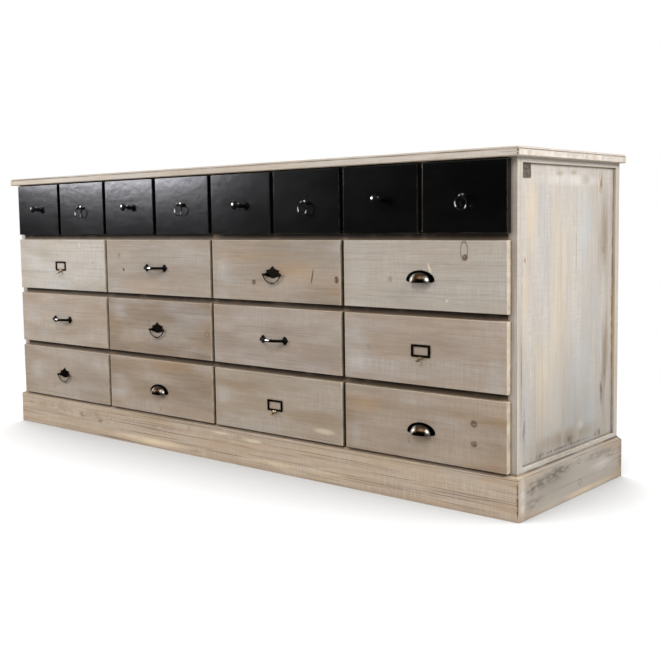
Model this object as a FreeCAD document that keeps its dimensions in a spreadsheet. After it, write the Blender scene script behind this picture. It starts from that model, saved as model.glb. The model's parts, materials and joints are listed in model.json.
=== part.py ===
import FreeCAD, Part

import os
import re

import Sketcher
from FreeCAD import Placement, Rotation, Vector

# A free-standing sideboard chest in limed pine: eight small black drawers over three rows of four
# large ones. X runs along the front to the right, Y from the front to the back, Z up.
# The origin is on the floor at the middle of the plinth.

# How many drawers there are, which pull each one carries, and how far above the middle of its
# front the pull is fixed, in mm.
SMALL_DRAWERS = [
    ("knob", 2), ("ring", 2.5), ("knob", 0), ("ring", 3),
    ("knob", -4.5), ("ring", -2), ("knob", 0), ("ring", 2),
]
LARGE_DRAWERS = [
    [("card", -4.5), ("bow", -1.5), ("bail", -10), ("cup", -15)],
    [("bow", 0), ("bail", -6), ("bow", -5), ("card", 0.5)],
    [("bail", -4), ("cup", -18), ("card", -2.5), ("cup", -18)],
]
COLUMNS = len(LARGE_DRAWERS[0])
LARGE_ROWS = len(LARGE_DRAWERS)

DRIVING_SIZES = [
    ("plinth_width", 2000, "plinth boards, corner to corner"),
    ("plinth_depth", 545, "front of the plinth to the back of the case"),
    ("plinth_height", 100, "floor to the outer arris of the plinth boards"),
    ("plinth_thickness", 14, "plinth boards, nailed round the foot of the case"),
    ("plinth_bevel_rise", 8, "slope on top of the plinth boards"),
    ("bottom_margin", 9.5, "plinth arris to the lowest fronts"),
    ("top_margin", 3.7, "highest fronts to the underside of the top"),
    ("front_height", 167.5, "every drawer front"),
    ("row_gap", 16.6, "between one row of fronts and the next"),
    ("column_gap", 13.4, "between the large fronts"),
    ("small_gap", 14, "between the two small fronts over a large one"),
    ("side_margin", 16.3, "front post seen beside the last fronts"),
    ("front_thickness", 17, "drawer fronts, planted on the boxes"),
    ("front_round", 1.6, "worn arris of a drawer front"),
    ("front_seat", 0.3, "closed front to the face of the frame"),
    ("front_overlay", 6, "front lapping over the frame round its opening"),
    ("frame_depth", 23.5, "posts and rails of the front frame"),
    ("rear_post_depth", 20, "rear posts and back rails"),
    ("rail_floor_gap", 20, "lower rails to the floor"),
    ("top_rail_height", 14, "front rail under the top"),
    ("back_top_rail_height", 40, "back rail under the top"),
    ("side_top_rail_height", 12, "side rail under the top"),
    ("side_bottom_reveal", 18, "side rail seen above the plinth arris"),
    ("panel_recess", 8, "side panel behind the face of its frame"),
    ("panel_thickness", 8, "side panel"),
    ("panel_groove", 6, "side panel let into its frame all round"),
    ("back_thickness", 5, "back panel"),
    ("back_rebate", 8, "back panel lapping its frame all round"),
    ("partition_thickness", 18, "upright boards between the drawers"),
    ("floor_thickness", 12, "board under the lowest drawers"),
    ("bearer_width", 44, "middle bearer from the floor to that board"),
    ("runner_height", 16, "drawer runners"),
    ("runner_guide_height", 12, "guide standing on the outer edge of a runner"),
    ("runner_lip", 3, "runner reaching past the drawer side"),
    ("running_clearance", 0.3, "drawer side above its runner"),
    ("side_clearance", 1.5, "drawer side to its guide"),
    ("box_board", 12, "sides, inner front and back of a drawer box"),
    ("box_height", 140, "drawer box"),
    ("box_back_gap", 31.3, "back of a drawer box clear of the rear posts"),
    ("box_panel", 5, "bottom of a drawer box"),
    ("box_panel_rise", 8, "that bottom above the lower edge of the box"),
    ("box_groove", 6, "that bottom let into the box all round"),
    ("top_thickness", 22, "top board"),
    ("top_lip_height", 6, "rounded lip along the upper edge of the top"),
    ("top_lip_inset", 2, "step from the flat edge back to the lip"),
    ("top_lip_round", 4, "rounding of the lip"),
    ("top_under_bevel", 2, "bevel under the edge of the top"),
    ("top_front_overhang", 23.5, "top past the front frame"),
    ("top_side_overhang", 18, "top past the side frames"),
    ("screw_radius", 2, "machine screws of the pulls"),
    ("screw_clearance", 0.2, "round those screws"),
    ("screw_head_radius", 4, "their heads, inside the drawers"),
    ("screw_head_height", 2.5, "their heads, inside the drawers"),
    ("screw_grip", 9, "screw inside a knob or a handle foot"),
    ("nut_radius", 4.2, "corner radius of the nut behind a ring pull"),
    ("nut_height", 3.2, "that nut"),
    ("pin_radius", 0.9, "nails of the cup pulls and card frames"),
    ("pin_head_radius", 2.2, "their round heads"),
    ("pin_head_height", 0.9, "their round heads"),
    ("pin_length", 12, "nail inside the front"),
    ("knob_base_radius", 7.5, "collar of a knob"),
    ("knob_base_height", 2, "collar of a knob"),
    ("knob_taper_radius", 6.3, "root of a knob's neck"),
    ("knob_taper_height", 11, "end of that taper out from the front"),
    ("knob_neck_radius", 4, "thinnest part of a knob"),
    ("knob_head_radius", 11.6, "head of a knob"),
    ("knob_head_half", 4.2, "half the thickness of that head"),
    ("knob_reach", 25.5, "knob out from the front"),
    ("eye_rose_radius", 7, "rose under a ring pull"),
    ("eye_rose_height", 1.5, "that rose"),
    ("eye_stem_radius", 2.6, "stem of a ring pull"),
    ("eye_ball_radius", 5.2, "ball on that stem"),
    ("eye_reach", 12, "middle of the ball out from the front"),
    ("eye_drop", 0.8, "middle of the ball down to the hole of the ring"),
    ("ring_radius", 15.5, "ring, to the middle of its wire"),
    ("ring_wire", 1.5, "radius of the wire"),
    ("ring_slack", 0.12, "hole round the bent wire"),
    ("cup_half_width", 41, "flange of a cup pull, middle to end"),
    ("cup_half_height", 24.5, "half the height of the whole oval that the flange is cut from"),
    ("cup_oval_rise", 2.5, "middle of that oval above the level of the pull"),
    ("cup_end_round", 7, "half the height of the flatter oval that rounds the flange's lower corners"),
    ("cup_flange", 1.5, "flange, thickness"),
    ("cup_wall", 1.5, "hood, thickness"),
    ("hood_half_width", 29, "hood at its mouth"),
    ("hood_reach", 22, "hood out from the front"),
    ("hood_rise", 22.5, "hood, mouth to crown"),
    ("cup_lip", 2, "lower edge of flange and hood below the level of the pull"),
    ("cup_pin_offset", 36, "nails of a cup pull from its middle"),
    ("cup_pin_rise", 3.6, "those nails above the level of the pull"),
    ("card_width", 55.8, "card frame"),
    ("card_height", 30.5, "card frame"),
    ("card_bar", 5.2, "upper and lower bar of the card frame"),
    ("card_stile", 6.2, "its upright bars"),
    ("card_corner", 1.6, "bevel on its corners"),
    ("card_thickness", 2.4, "its bars"),
    ("tongue_width", 14, "pull tongue of the card frame, at its root"),
    ("tongue_tip_width", 8, "the same at its tip"),
    ("tongue_thickness", 1.8, "tongue"),
    ("tongue_radius", 12.5, "curl of the tongue, to the middle of its metal"),
    ("tongue_bead_radius", 2.4, "rounded tip of the tongue"),
    ("bow_spacing", 82, "feet of a bow handle, middle to middle"),
    ("bow_foot_half_width", 11.5, "pointed foot along the handle"),
    ("bow_foot_half_height", 11, "pointed foot upright"),
    ("bow_foot_flat", 2.5, "half the blunt end of that foot"),
    ("bow_foot_thickness", 3.4, "plate of the foot"),
    ("bow_foot_slope", 1.6, "bevel round that plate"),
    ("bow_root_radius", 7.4, "root of the bar on that plate"),
    ("bow_neck_radius", 5.2, "top of that root, inside the rounded end of the bar"),
    ("bow_boss_radius", 5.8, "rounded end of the bar"),
    ("bow_bar_radius", 4.2, "round bar"),
    ("bow_reach", 22, "middle of the bar out from the front"),
    ("bow_bar_seat", 6, "ends of the bar's curve out from the front"),
    ("plate_thickness", 1.8, "plate of a bail pull"),
    ("plate_bevel", 0.5, "worn edge of that plate"),
    ("plate_rise", 23.5, "its upper point above the pivots"),
    ("plate_drop", 10.5, "its lower point below the pivots"),
    ("plate_shoulder", 9.5, "its first step, from the middle"),
    ("plate_shoulder_rise", 15, "that step above the pivots"),
    ("plate_wing", 25, "its wing tips, from the middle"),
    ("plate_wing_rise", 11.5, "wing tips above the pivots"),
    ("plate_waist", 21.5, "its notches, from the middle"),
    ("plate_waist_rise", 6.5, "notches above the pivots"),
    ("bail_post_spacing", 47, "posts of a bail pull"),
    ("bail_post_radius", 3.6, "post"),
    ("bail_post_reach", 8.6, "post out from the front"),
    ("bail_axis_reach", 5.4, "pivots of the bail out from the front"),
    ("bail_pin_radius", 1.4, "pins of the bail"),
    ("bail_pin_slack", 0.3, "holes round those pins"),
    ("bail_half_width", 32.8, "bail, middle to the ends of its curve"),
    ("bail_drop", 23.5, "bail, pivots to the bottom of its curve"),
    ("bail_rod_radius", 1.5, "bail"),
    ("bail_ball_radius", 3, "knuckle at each end of the bail"),
    ("bail_grip_half_width", 8, "thick middle of the bail"),
    ("bail_grip_radius", 2.3, "thick middle of the bail"),
]

for number, (pull, rise) in enumerate(SMALL_DRAWERS, 1):
    DRIVING_SIZES.append((f"rise_{pull}_top_{number}", rise, f"{pull} pull above the middle of its front"))
for row, drawers in enumerate(LARGE_DRAWERS, 1):
    for column, (pull, rise) in enumerate(drawers, 1):
        note = f"{pull} pull above the middle of its front"
        DRIVING_SIZES.append((f"rise_{pull}_row_{row}_{column}", rise, note))

# Sizes that follow from the driving ones, each used in several places.
WORKED_SIZES = [
    ("case_half", "plinth_width / 2 - plinth_thickness"),
    ("case_front", "plinth_thickness - plinth_depth / 2"),
    ("case_back", "plinth_depth / 2"),
    ("frame_back", "case_front + frame_depth"),
    ("rear_front", "case_back - rear_post_depth"),
    ("row_pitch", "front_height + row_gap"),
    ("lowest_middle", "plinth_height + bottom_margin + front_height / 2"),
    ("case_height", f"lowest_middle + {LARGE_ROWS} * row_pitch + front_height / 2 + top_margin"),
    ("large_width", f"(2 * (case_half - side_margin) - {COLUMNS - 1} * column_gap) / {COLUMNS}"),
    ("small_width", "(large_width - small_gap) / 2"),
    ("column_pitch", "large_width + column_gap"),
    ("small_offset", "(small_width + small_gap) / 2"),
    ("post_width", "side_margin + front_overlay"),
    ("post_inner", "case_half - post_width"),
    ("panel_outer", "case_half - panel_recess"),
    ("panel_inner", "panel_outer - panel_thickness"),
    ("opening_low", "front_overlay - front_height / 2"),
    ("opening_high", "front_height / 2 - front_overlay"),
    ("runner_top", "lowest_middle + opening_low"),
    ("floor_top", "runner_top - runner_height"),
    ("floor_low", "floor_top - floor_thickness"),
    ("side_rail_top", "plinth_height + side_bottom_reveal"),
    ("front_face", "case_front - front_seat - front_thickness"),
    ("front_back", "case_front - front_seat"),
    ("box_low", "opening_low + running_clearance"),
    ("box_back", "rear_front - box_back_gap"),
    ("panel_low", "box_low + box_panel_rise"),
    ("drawer_inside", "front_thickness + box_board"),
    ("screw_hole", "screw_radius + screw_clearance"),
    ("bow_sagitta", "bow_reach - bow_bar_seat"),
    ("bow_arc", "((bow_spacing / 2) ^ 2 + bow_sagitta ^ 2) / (2 * bow_sagitta)"),
    ("bow_half_angle", "asin(bow_spacing / 2 / bow_arc)"),
    ("bail_arc", "(bail_half_width ^ 2 + bail_drop ^ 2) / (2 * bail_drop)"),
    ("ring_bend", "ring_radius - sqrt(ring_radius ^ 2 - eye_ball_radius ^ 2)"),
    ("ring_hole", "ring_wire + ring_bend + ring_slack"),
    ("bail_hole", "bail_pin_radius + bail_pin_slack"),
]

doc = FreeCAD.newDocument("chest_of_drawers")
sizes = doc.addObject("Spreadsheet::Sheet", "Sizes")
worked = doc.addObject("Spreadsheet::Sheet", "Worked")
home = {}


def formula(text):
    """A formula for an expression, with each size's name pointing at the sheet that holds it."""
    return re.sub(r"[a-z][a-z_0-9]*", lambda found: home.get(found.group(), "") + found.group(), text)


for line, (name, value, note) in enumerate(DRIVING_SIZES, 1):
    sizes.set(f"A{line}", name)
    sizes.set(f"B{line}", str(value))
    sizes.set(f"C{line}", note)
    sizes.setAlias(f"B{line}", name)
    home[name] = "Sizes."
for line, (name, text) in enumerate(WORKED_SIZES, 1):
    worked.set(f"A{line}", name)
    worked.set(f"B{line}", "=" + formula(text))
    worked.setAlias(f"B{line}", name)
    home[name] = "Worked."
doc.recompute()


# Ways of making a piece

def bind(piece, **formulas):
    """Tie properties of a piece to formulas; x, y and z stand for its place."""
    for name, text in formulas.items():
        target = f"Placement.Base.{name}" if name in ("x", "y", "z") else name
        piece.setExpression(target, formula(text))
    return piece


def board(name, x, y, z):
    """A squared board between two formulas along each axis."""
    piece = doc.addObject("Part::Box", name)
    bind(piece, Length=f"({x[1]}) - ({x[0]})", Width=f"({y[1]}) - ({y[0]})", Height=f"({z[1]}) - ({z[0]})")
    return bind(piece, x=x[0], y=y[0], z=z[0])


AXIS_TURNS = {
    "x": Rotation(Vector(0, 1, 0), 90),
    "y": Rotation(Vector(1, 0, 0), -90),
    "z": Rotation(),
}


def rod(name, radius, axis, low, high, **place):
    """A round rod along an axis between two formulas; place gives the other two coordinates."""
    piece = doc.addObject("Part::Cylinder", name)
    piece.Placement = Placement(Vector(), AXIS_TURNS[axis])
    bind(piece, Radius=radius, Height=f"({high}) - ({low})")
    return bind(piece, **place, **{axis: low})


def taper(name, low_radius, high_radius, axis, low, high, **place):
    """A cone's trunk along an axis between two formulas."""
    piece = doc.addObject("Part::Cone", name)
    piece.Placement = Placement(Vector(), AXIS_TURNS[axis])
    bind(piece, Radius1=low_radius, Radius2=high_radius, Height=f"({high}) - ({low})")
    return bind(piece, **place, **{axis: low})


def oval(name, half_x, half_z, thickness, **place):
    """A flat oval plate on the plane y = 0, standing out towards -Y."""
    outline = doc.addObject("Part::Ellipse", f"{name}_outline")
    outline.Placement = Placement(Vector(), Rotation(Vector(1, 0, 0), 90))
    bind(outline, MajorRadius=half_x, MinorRadius=half_z, **place)
    piece = doc.addObject("Part::Extrusion", name)
    piece.Base = outline
    piece.DirMode = "Custom"
    piece.Dir = Vector(0, -1, 0)
    piece.Solid = True
    return bind(piece, LengthFwd=thickness)


def ball(name, radius, axis, **place):
    """A ball with its poles along an axis, so that they stay clear of the pieces that it joins."""
    piece = doc.addObject("Part::Sphere", name)
    piece.Placement = Placement(Vector(), AXIS_TURNS[axis])
    return bind(piece, Radius=radius, **place)


def flattened_ball(name, half_x, half_y, half_z, **place):
    """A flattened ball, from half its size along each axis."""
    piece = doc.addObject("Part::Ellipsoid", name)
    piece.Angle1 = -90
    return bind(piece, Radius1=half_z, Radius2=half_x, Radius3=half_y, **place)


def hoop(name, radius, wire, axis, **place):
    """A whole round hoop of round wire about an axis."""
    piece = doc.addObject("Part::Torus", name)
    piece.Placement = Placement(Vector(), AXIS_TURNS[axis])
    return bind(piece, Radius1=radius, Radius2=wire, **place)


PLANE_NORMALS = {"XY_Plane": "z", "XZ_Plane": "y", "YZ_Plane": "x"}


def shaped(name, plane, outline, low, high):
    """A Body padded from a closed outline of straight lines, from low to high across its plane."""
    body = doc.addObject("PartDesign::Body", name)
    sketch = body.newObject("Sketcher::SketchObject", f"{name}_outline")
    sketch.AttachmentSupport = ([face for face in body.Origin.OriginFeatures if face.Role == plane][0], "")
    sketch.MapMode = "FlatFace"
    corners = [Vector(10, 0, 0), Vector(0, 10, 0), Vector(-10, 0, 0), Vector(0, -10, 0)]
    starts = [corners[i % 4] * (1 + i) for i in range(len(outline))]
    for i, start in enumerate(starts):
        sketch.addGeometry(Part.LineSegment(start, starts[(i + 1) % len(starts)]), False)
    for i, (across, up) in enumerate(outline):
        sketch.addConstraint(Sketcher.Constraint("Coincident", i, 2, (i + 1) % len(outline), 1))
        for direction, text in (("DistanceX", across), ("DistanceY", up)):
            number = sketch.addConstraint(Sketcher.Constraint(direction, -1, 1, i, 1, 1.0))
            sketch.setExpression(f"Constraints[{number}]", formula(text))
    pad = body.newObject("PartDesign::Pad", f"{name}_pad")
    pad.Profile = sketch
    bind(pad, Length=f"({high}) - ({low})")
    # A pad from the XZ plane runs towards -Y, so it starts at the higher Y.
    bind(body, **{PLANE_NORMALS[plane]: high if plane == "XZ_Plane" else low})
    return body


def rectangle(x, y):
    """The outline of a rectangle between two formulas each way."""
    return [(x[0], y[0]), (x[1], y[0]), (x[1], y[1]), (x[0], y[1])]


def outer_face(feature, direction):
    """The name of the flat face that lies furthest along a direction."""
    faces = feature.Shape.Faces
    flat = [i for i in range(len(faces)) if faces[i].normalAt(0, 0).isEqual(direction, 0.001)]
    best = max(flat, key=lambda i: faces[i].CenterOfMass.dot(direction))
    return f"Face{best + 1}"


def finish_face(body, kind, name, direction, size):
    """Round or bevel every edge of the body's outermost face in a direction."""
    doc.recompute()
    base = body.Tip
    finish = body.newObject(kind, name)
    finish.Base = (base, [outer_face(base, direction)])
    bind(finish, **{"Radius" if kind.endswith("Fillet") else "Size": size})
    return finish


def together(name, pieces, **place):
    """Several separate pieces kept as one group, or a group set down again in another place."""
    group = doc.addObject("Part::Compound", name)
    group.Links = pieces
    return bind(group, **place)


def joined(name, pieces):
    """Pieces made as one solid."""
    solid = doc.addObject("Part::MultiFuse", name)
    solid.Shapes = pieces
    return solid


def cut(name, base, tools):
    """A piece with the room of other pieces taken out of it."""
    solid = doc.addObject("Part::Cut", name)
    solid.Base = base
    solid.Tool = tools[0] if len(tools) == 1 else together(f"{name}_tools", tools)
    return solid


def common(name, pieces):
    """What two pieces share."""
    solid = doc.addObject("Part::Common", name)
    solid.Base, solid.Tool = pieces
    return solid


def mirrored(name, piece):
    """The same piece on the left-hand side."""
    copy = doc.addObject("Part::Mirroring", name)
    copy.Source = piece
    copy.Base = Vector(0, 0, 0)
    copy.Normal = Vector(1, 0, 0)
    return copy


def both_sides(name, piece):
    """A right-hand piece and its mirror image, as one group."""
    return together(name, [piece, mirrored(f"{name}_left", piece)])


# Where rows and columns lie

def row_middle(row):
    """Height of the middle of a row of fronts; row 0 holds the small drawers, the last is lowest."""
    return f"lowest_middle + {LARGE_ROWS - row} * row_pitch"


def column_middle(column):
    """Middle of a large column, counted from 1 at the left."""
    return f"{column - (COLUMNS + 1) / 2} * column_pitch"


def column_line(line):
    """Middle of the upright between large columns line and line + 1."""
    return f"{line - COLUMNS / 2} * column_pitch"


def small_middle(number):
    """Middle of a small front, counted from 1 at the left."""
    column = (number + 1) // 2
    side = "-" if number % 2 else "+"
    return f"{column_middle(column)} {side} small_offset"


nodes = []


def node(piece):
    """Count a piece as one of the object's named nodes."""
    nodes.append(piece)
    return piece


# The case

def make_top():
    """Top board: a flat edge with a small bevel below and a rounded lip set back above."""
    side = "case_half + top_side_overhang"
    front = "case_front - top_front_overhang"
    top = shaped("top_edge", "XY_Plane", rectangle((f"-({side})", side), (front, "case_back")),
                 "case_height", "case_height + top_thickness - top_lip_height")
    finish_face(top, "PartDesign::Chamfer", "top_bevel", Vector(0, 0, -1), "top_under_bevel")
    edge = f"{side} - top_lip_inset"
    lip = shaped("top_lip", "XY_Plane",
                 rectangle((f"-({edge})", edge), (f"{front} + top_lip_inset", "case_back")),
                 "case_height + top_thickness - top_lip_height", "case_height + top_thickness")
    finish_face(lip, "PartDesign::Fillet", "top_lip_rounding", Vector(0, 0, 1), "top_lip_round")
    return node(joined("top_board", [top, lip]))


def make_side_frames():
    """Side panels let into grooves of the corner posts and side rails, a little behind their faces."""
    panel = board("side_panel_right", ("panel_inner", "panel_outer"),
                  ("frame_back - panel_groove", "rear_front + panel_groove"),
                  ("side_rail_top - panel_groove", "case_height - side_top_rail_height + panel_groove"))
    frame = ("post_inner", "case_half")
    between = ("frame_back", "rear_front")
    front_post = cut("front_post", board("front_post_blank", frame, ("case_front", "frame_back"),
                                         ("0", "case_height")), [panel])
    rear_post = cut("rear_post", board("rear_post_blank", frame, ("rear_front", "case_back"),
                                       ("0", "case_height")), [panel, back_panel])
    top_rail = cut("side_top_rail", board("side_top_rail_blank", frame, between,
                                          ("case_height - side_top_rail_height", "case_height")), [panel])
    low_rail = cut("side_low_rail", board("side_low_rail_blank", frame, between,
                                          ("rail_floor_gap", "side_rail_top")), [panel])
    node(both_sides("side_panels", panel))
    node(both_sides("corner_posts", together("posts_right", [front_post, rear_post])))
    node(both_sides("side_rails", together("side_rails_right", [top_rail, low_rail])))


def make_back():
    """Back rails between the rear posts, rebated with them for the back panel."""
    across = ("-post_inner", "post_inner")
    deep = ("rear_front", "case_back")
    high = cut("back_top_rail", board("back_top_rail_blank", across, deep,
                                      ("case_height - back_top_rail_height", "case_height")), [back_panel])
    low = cut("back_low_rail", board("back_low_rail_blank", across, deep,
                                     ("rail_floor_gap", "runner_top")), [back_panel])
    node(together("back_rails", [high, low]))
    node(back_panel)


def make_plinth():
    """Three boards round the foot of the case, mitred at the front corners and sloped on top."""
    outer = "plinth_width / 2"
    high = "plinth_height + plinth_bevel_rise"
    front_plan = [(f"-{outer}", "-plinth_depth / 2"), (outer, "-plinth_depth / 2"),
                  ("case_half", "case_front"), ("-case_half", "case_front")]
    front_section = [("-plinth_depth / 2", "0"), ("case_front", "0"), ("case_front", high),
                     ("-plinth_depth / 2", "plinth_height")]
    front = common("plinth_front", [
        shaped("plinth_front_plan", "XY_Plane", front_plan, "0", high),
        shaped("plinth_front_section", "YZ_Plane", front_section, f"-{outer}", outer)])
    side_plan = [(outer, "-plinth_depth / 2"), (outer, "case_back"), ("case_half", "case_back"),
                 ("case_half", "case_front")]
    side_section = [(outer, "0"), (outer, "plinth_height"), ("case_half", high), ("case_half", "0")]
    side = common("plinth_side", [
        shaped("plinth_side_plan", "XY_Plane", side_plan, "0", high),
        shaped("plinth_side_section", "XZ_Plane", side_section, "-plinth_depth / 2", "case_back")])
    return node(together("plinth_boards", [front, side, mirrored("plinth_side_left", side)]))


def make_floor():
    """Board under the lowest drawers, and the bearer that carries its middle."""
    between = ("frame_back", "rear_front")
    node(board("bottom_board", ("-post_inner", "post_inner"), between, ("floor_low", "floor_top")))
    node(board("middle_bearer", ("-bearer_width / 2", "bearer_width / 2"), between, ("0", "floor_low")))


def make_front_frame():
    """Rails across the front between the posts, and the uprights between the rails."""
    across = ("-post_inner", "post_inner")
    deep = ("case_front", "frame_back")
    rails = [board("front_top_rail", across, deep, ("case_height - top_rail_height", "case_height")),
             board("front_low_rail", across, deep, ("rail_floor_gap", "runner_top"))]
    for row in range(LARGE_ROWS):
        middle = row_middle(row)
        heights = (f"{middle} - row_pitch + opening_high", f"{middle} + opening_low")
        rails.append(board(f"front_rail_{row}", across, deep, heights))
    node(together("front_rails", rails))

    uprights = []
    small_high = "case_height - top_rail_height"
    lines = [(column_line(line), "column_gap") for line in range(1, COLUMNS)]
    lines += [(column_middle(column), "small_gap") for column in range(1, COLUMNS + 1)]
    for number, (middle, gap) in enumerate(lines, 1):
        half = f"({gap} / 2 + front_overlay)"
        wide = (f"{middle} - {half}", f"{middle} + {half}")
        uprights.append(board(f"small_upright_{number}", wide, deep,
                              (f"{row_middle(0)} + opening_low", small_high)))
    half = "(column_gap / 2 + front_overlay)"
    for row in range(1, LARGE_ROWS + 1):
        for line in range(1, COLUMNS):
            middle = column_line(line)
            uprights.append(board(f"upright_{row}_{line}", (f"{middle} - {half}", f"{middle} + {half}"), deep,
                                  (f"{row_middle(row)} + opening_low", f"{row_middle(row)} + opening_high")))
    node(together("front_uprights", uprights))


def make_partitions():
    """Upright boards from the front frame to the back rails: three full ones and four short ones."""
    deep = ("frame_back", "rear_front")
    half = "partition_thickness / 2"
    small_low = f"{row_middle(0)} + opening_low - runner_height"
    boards = []
    for line in range(1, COLUMNS):
        middle = column_line(line)
        boards.append(board(f"partition_{line}", (f"{middle} - {half}", f"{middle} + {half}"), deep,
                            ("floor_top", "case_height")))
    for column in range(1, COLUMNS + 1):
        middle = column_middle(column)
        boards.append(board(f"short_partition_{column}", (f"{middle} - {half}", f"{middle} + {half}"), deep,
                            (small_low, "case_height")))
    node(together("partitions", boards))


def runner(name, edge, wall, inward):
    """A rebated runner: the drawer side rides on it and its raised outer edge guides the side.

    edge is where the drawer's opening ends, wall the face it is screwed to, inward the sign of the
    direction from the wall to the drawer.
    """
    deep = ("frame_back", "rear_front")
    reach = f"{edge} {inward} (side_clearance + box_board + runner_lip)"
    outside, inside = (wall, reach) if inward == "+" else (reach, wall)
    blank = board(f"{name}_blank", (outside, inside), deep, ("-runner_height", "runner_guide_height"))
    room = (edge, reach) if inward == "+" else (reach, edge)
    return cut(name, blank, [board(f"{name}_rebate", room, deep, ("0", "runner_guide_height"))])


def make_runners():
    """Two runners for each drawer, fixed to the partitions and the side frames."""
    deep = ("frame_back", "rear_front")
    half_wall = "partition_thickness / 2"
    large_half = "(large_width / 2 - front_overlay)"
    small_half = "(small_width / 2 - front_overlay)"
    row = []
    small_row = []
    for column in range(1, COLUMNS + 1):
        middle = column_middle(column)
        left_wall = "-panel_inner" if column == 1 else f"{column_line(column - 1)} + {half_wall}"
        right_wall = "panel_inner" if column == COLUMNS else f"{column_line(column)} - {half_wall}"
        row.append(runner(f"runner_{column}_left", f"{middle} - {large_half}", left_wall, "+"))
        row.append(runner(f"runner_{column}_right", f"{middle} + {large_half}", right_wall, "-"))
        for number, walls in ((2 * column - 1, (left_wall, f"{middle} - {half_wall}")),
                              (2 * column, (f"{middle} + {half_wall}", right_wall))):
            centre = small_middle(number)
            small = f"small_runner_{number}"
            small_row.append(runner(f"{small}_left", f"{centre} - {small_half}", walls[0], "+"))
            small_row.append(runner(f"{small}_right", f"{centre} + {small_half}", walls[1], "-"))
    large = together("runner_row", row)
    rows = [together("small_runner_row", small_row, z=f"{row_middle(0)} + opening_low")]
    for number in range(1, LARGE_ROWS + 1):
        rows.append(together(f"runner_row_{number}", [large], z=f"{row_middle(number)} + opening_low"))
    # Beside the side rails the lowest runners have no guides of their own: they stop at the rails.
    rail = board("rail_room", ("post_inner", "case_half"), deep, ("0", "runner_top + runner_guide_height"))
    rows[-1] = cut("lowest_runners", rows[-1], [rail, mirrored("rail_room_left", rail)])
    node(together("drawer_runners", rows))


# The drawers, each modelled once with the middle of its front at x = 0, z = 0

def screw_holes(name, offsets, low, high, radius, height="0"):
    """Round holes along Y, one at each offset from the middle of the front."""
    return [rod(f"{name}_{number}", radius, "y", low, high, x=offset, z=height)
            for number, offset in enumerate(offsets, 1)]


def drawer(kind, width, through=(), pilots=(), pilot_height="0"):
    """One drawer: a planted front, two sides, an inner front, a back and a bottom in grooves.

    through gives the places of screws that pass through the front and the inner front, pilots those
    of nails in the front alone.
    """
    half = f"({width} / 2)"
    box_half = f"({width} / 2 - front_overlay - side_clearance)"
    inner_half = f"({box_half} - box_board)"
    z = ("box_low", "box_low + box_height")
    front = shaped(f"{kind}_front", "XZ_Plane",
                   rectangle((f"-{half}", half), ("-front_height / 2", "front_height / 2")),
                   "front_face", "front_back")
    finish_face(front, "PartDesign::Fillet", f"{kind}_front_rounding", Vector(0, -1, 0), "front_round")
    bottom = board(f"{kind}_bottom", (f"-{inner_half} - box_groove", f"{inner_half} + box_groove"),
                   ("front_back + box_board - box_groove", "box_back - box_board + box_groove"),
                   ("panel_low", "panel_low + box_panel"))
    left = board(f"{kind}_left_blank", (f"-{box_half}", f"-{inner_half}"), ("front_back", "box_back"), z)
    right = board(f"{kind}_right_blank", (inner_half, box_half), ("front_back", "box_back"), z)
    inner = board(f"{kind}_inner_blank", (f"-{inner_half}", inner_half),
                  ("front_back", "front_back + box_board"), z)
    back = board(f"{kind}_back_blank", (f"-{inner_half}", inner_half),
                 ("box_back - box_board", "box_back"), z)
    holes = screw_holes(f"{kind}_hole", through, "front_face", "front_face + drawer_inside", "screw_hole",
                        pilot_height)
    holes += screw_holes(f"{kind}_pilot", pilots, "front_face", "front_face + pin_length", "pin_radius",
                         pilot_height)
    inner_cuts = [bottom] + (holes if through else [])
    return together(f"{kind}_drawer", [
        cut(f"{kind}_front_drilled", front, holes),
        cut(f"{kind}_inner_front", inner, inner_cuts),
        cut(f"{kind}_left", left, [bottom]),
        cut(f"{kind}_right", right, [bottom]),
        cut(f"{kind}_back", back, [bottom]),
        bottom,
    ])


# The pulls, each modelled once with its middle at x = 0, z = 0 and the face of the front at y = 0,
# so that they stand out towards -Y

def machine_screw(name, offset="0"):
    """A round-headed screw through the front, with its head inside the drawer."""
    shank = rod(f"{name}_shank", "screw_radius", "y", "-screw_grip + screw_clearance", "drawer_inside",
                x=offset)
    head = rod(f"{name}_head", "screw_head_radius", "y", "drawer_inside",
               "drawer_inside + screw_head_height", x=offset)
    return joined(name, [shank, head])


def nail(name, offset, height, seat):
    """A round-headed nail driven through a pull of the given thickness into the front."""
    shank = rod(f"{name}_shank", "pin_radius", "y", f"-({seat})", "pin_length", x=offset, z=height)
    head = rod(f"{name}_head", "pin_head_radius", "y", f"-({seat}) - pin_head_height", f"-({seat})",
               x=offset, z=height)
    return joined(name, [shank, head])


def screw_socket(name, offset="0"):
    """The blind threaded hole in the back of a pull."""
    return rod(name, "screw_hole", "y", "-screw_grip", "0", x=offset)


def make_knob():
    """A turned metal knob: collar, tapered neck and flattened round head."""
    collar = rod("knob_collar", "knob_base_radius", "y", "-knob_base_height", "0")
    root = taper("knob_root", "knob_neck_radius", "knob_taper_radius", "y", "-knob_taper_height",
                 "-knob_base_height / 2")
    neck = rod("knob_neck", "knob_neck_radius", "y", "knob_head_half - knob_reach", "-knob_base_height / 2")
    head = flattened_ball("knob_head", "knob_head_radius", "knob_head_half", "knob_head_radius",
                          y="knob_head_half - knob_reach")
    shell = cut("knob_shell", joined("knob_solid", [collar, root, neck, head]), [screw_socket("knob_socket")])
    return together("knob_pull", [shell, machine_screw("knob_screw")])


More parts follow.
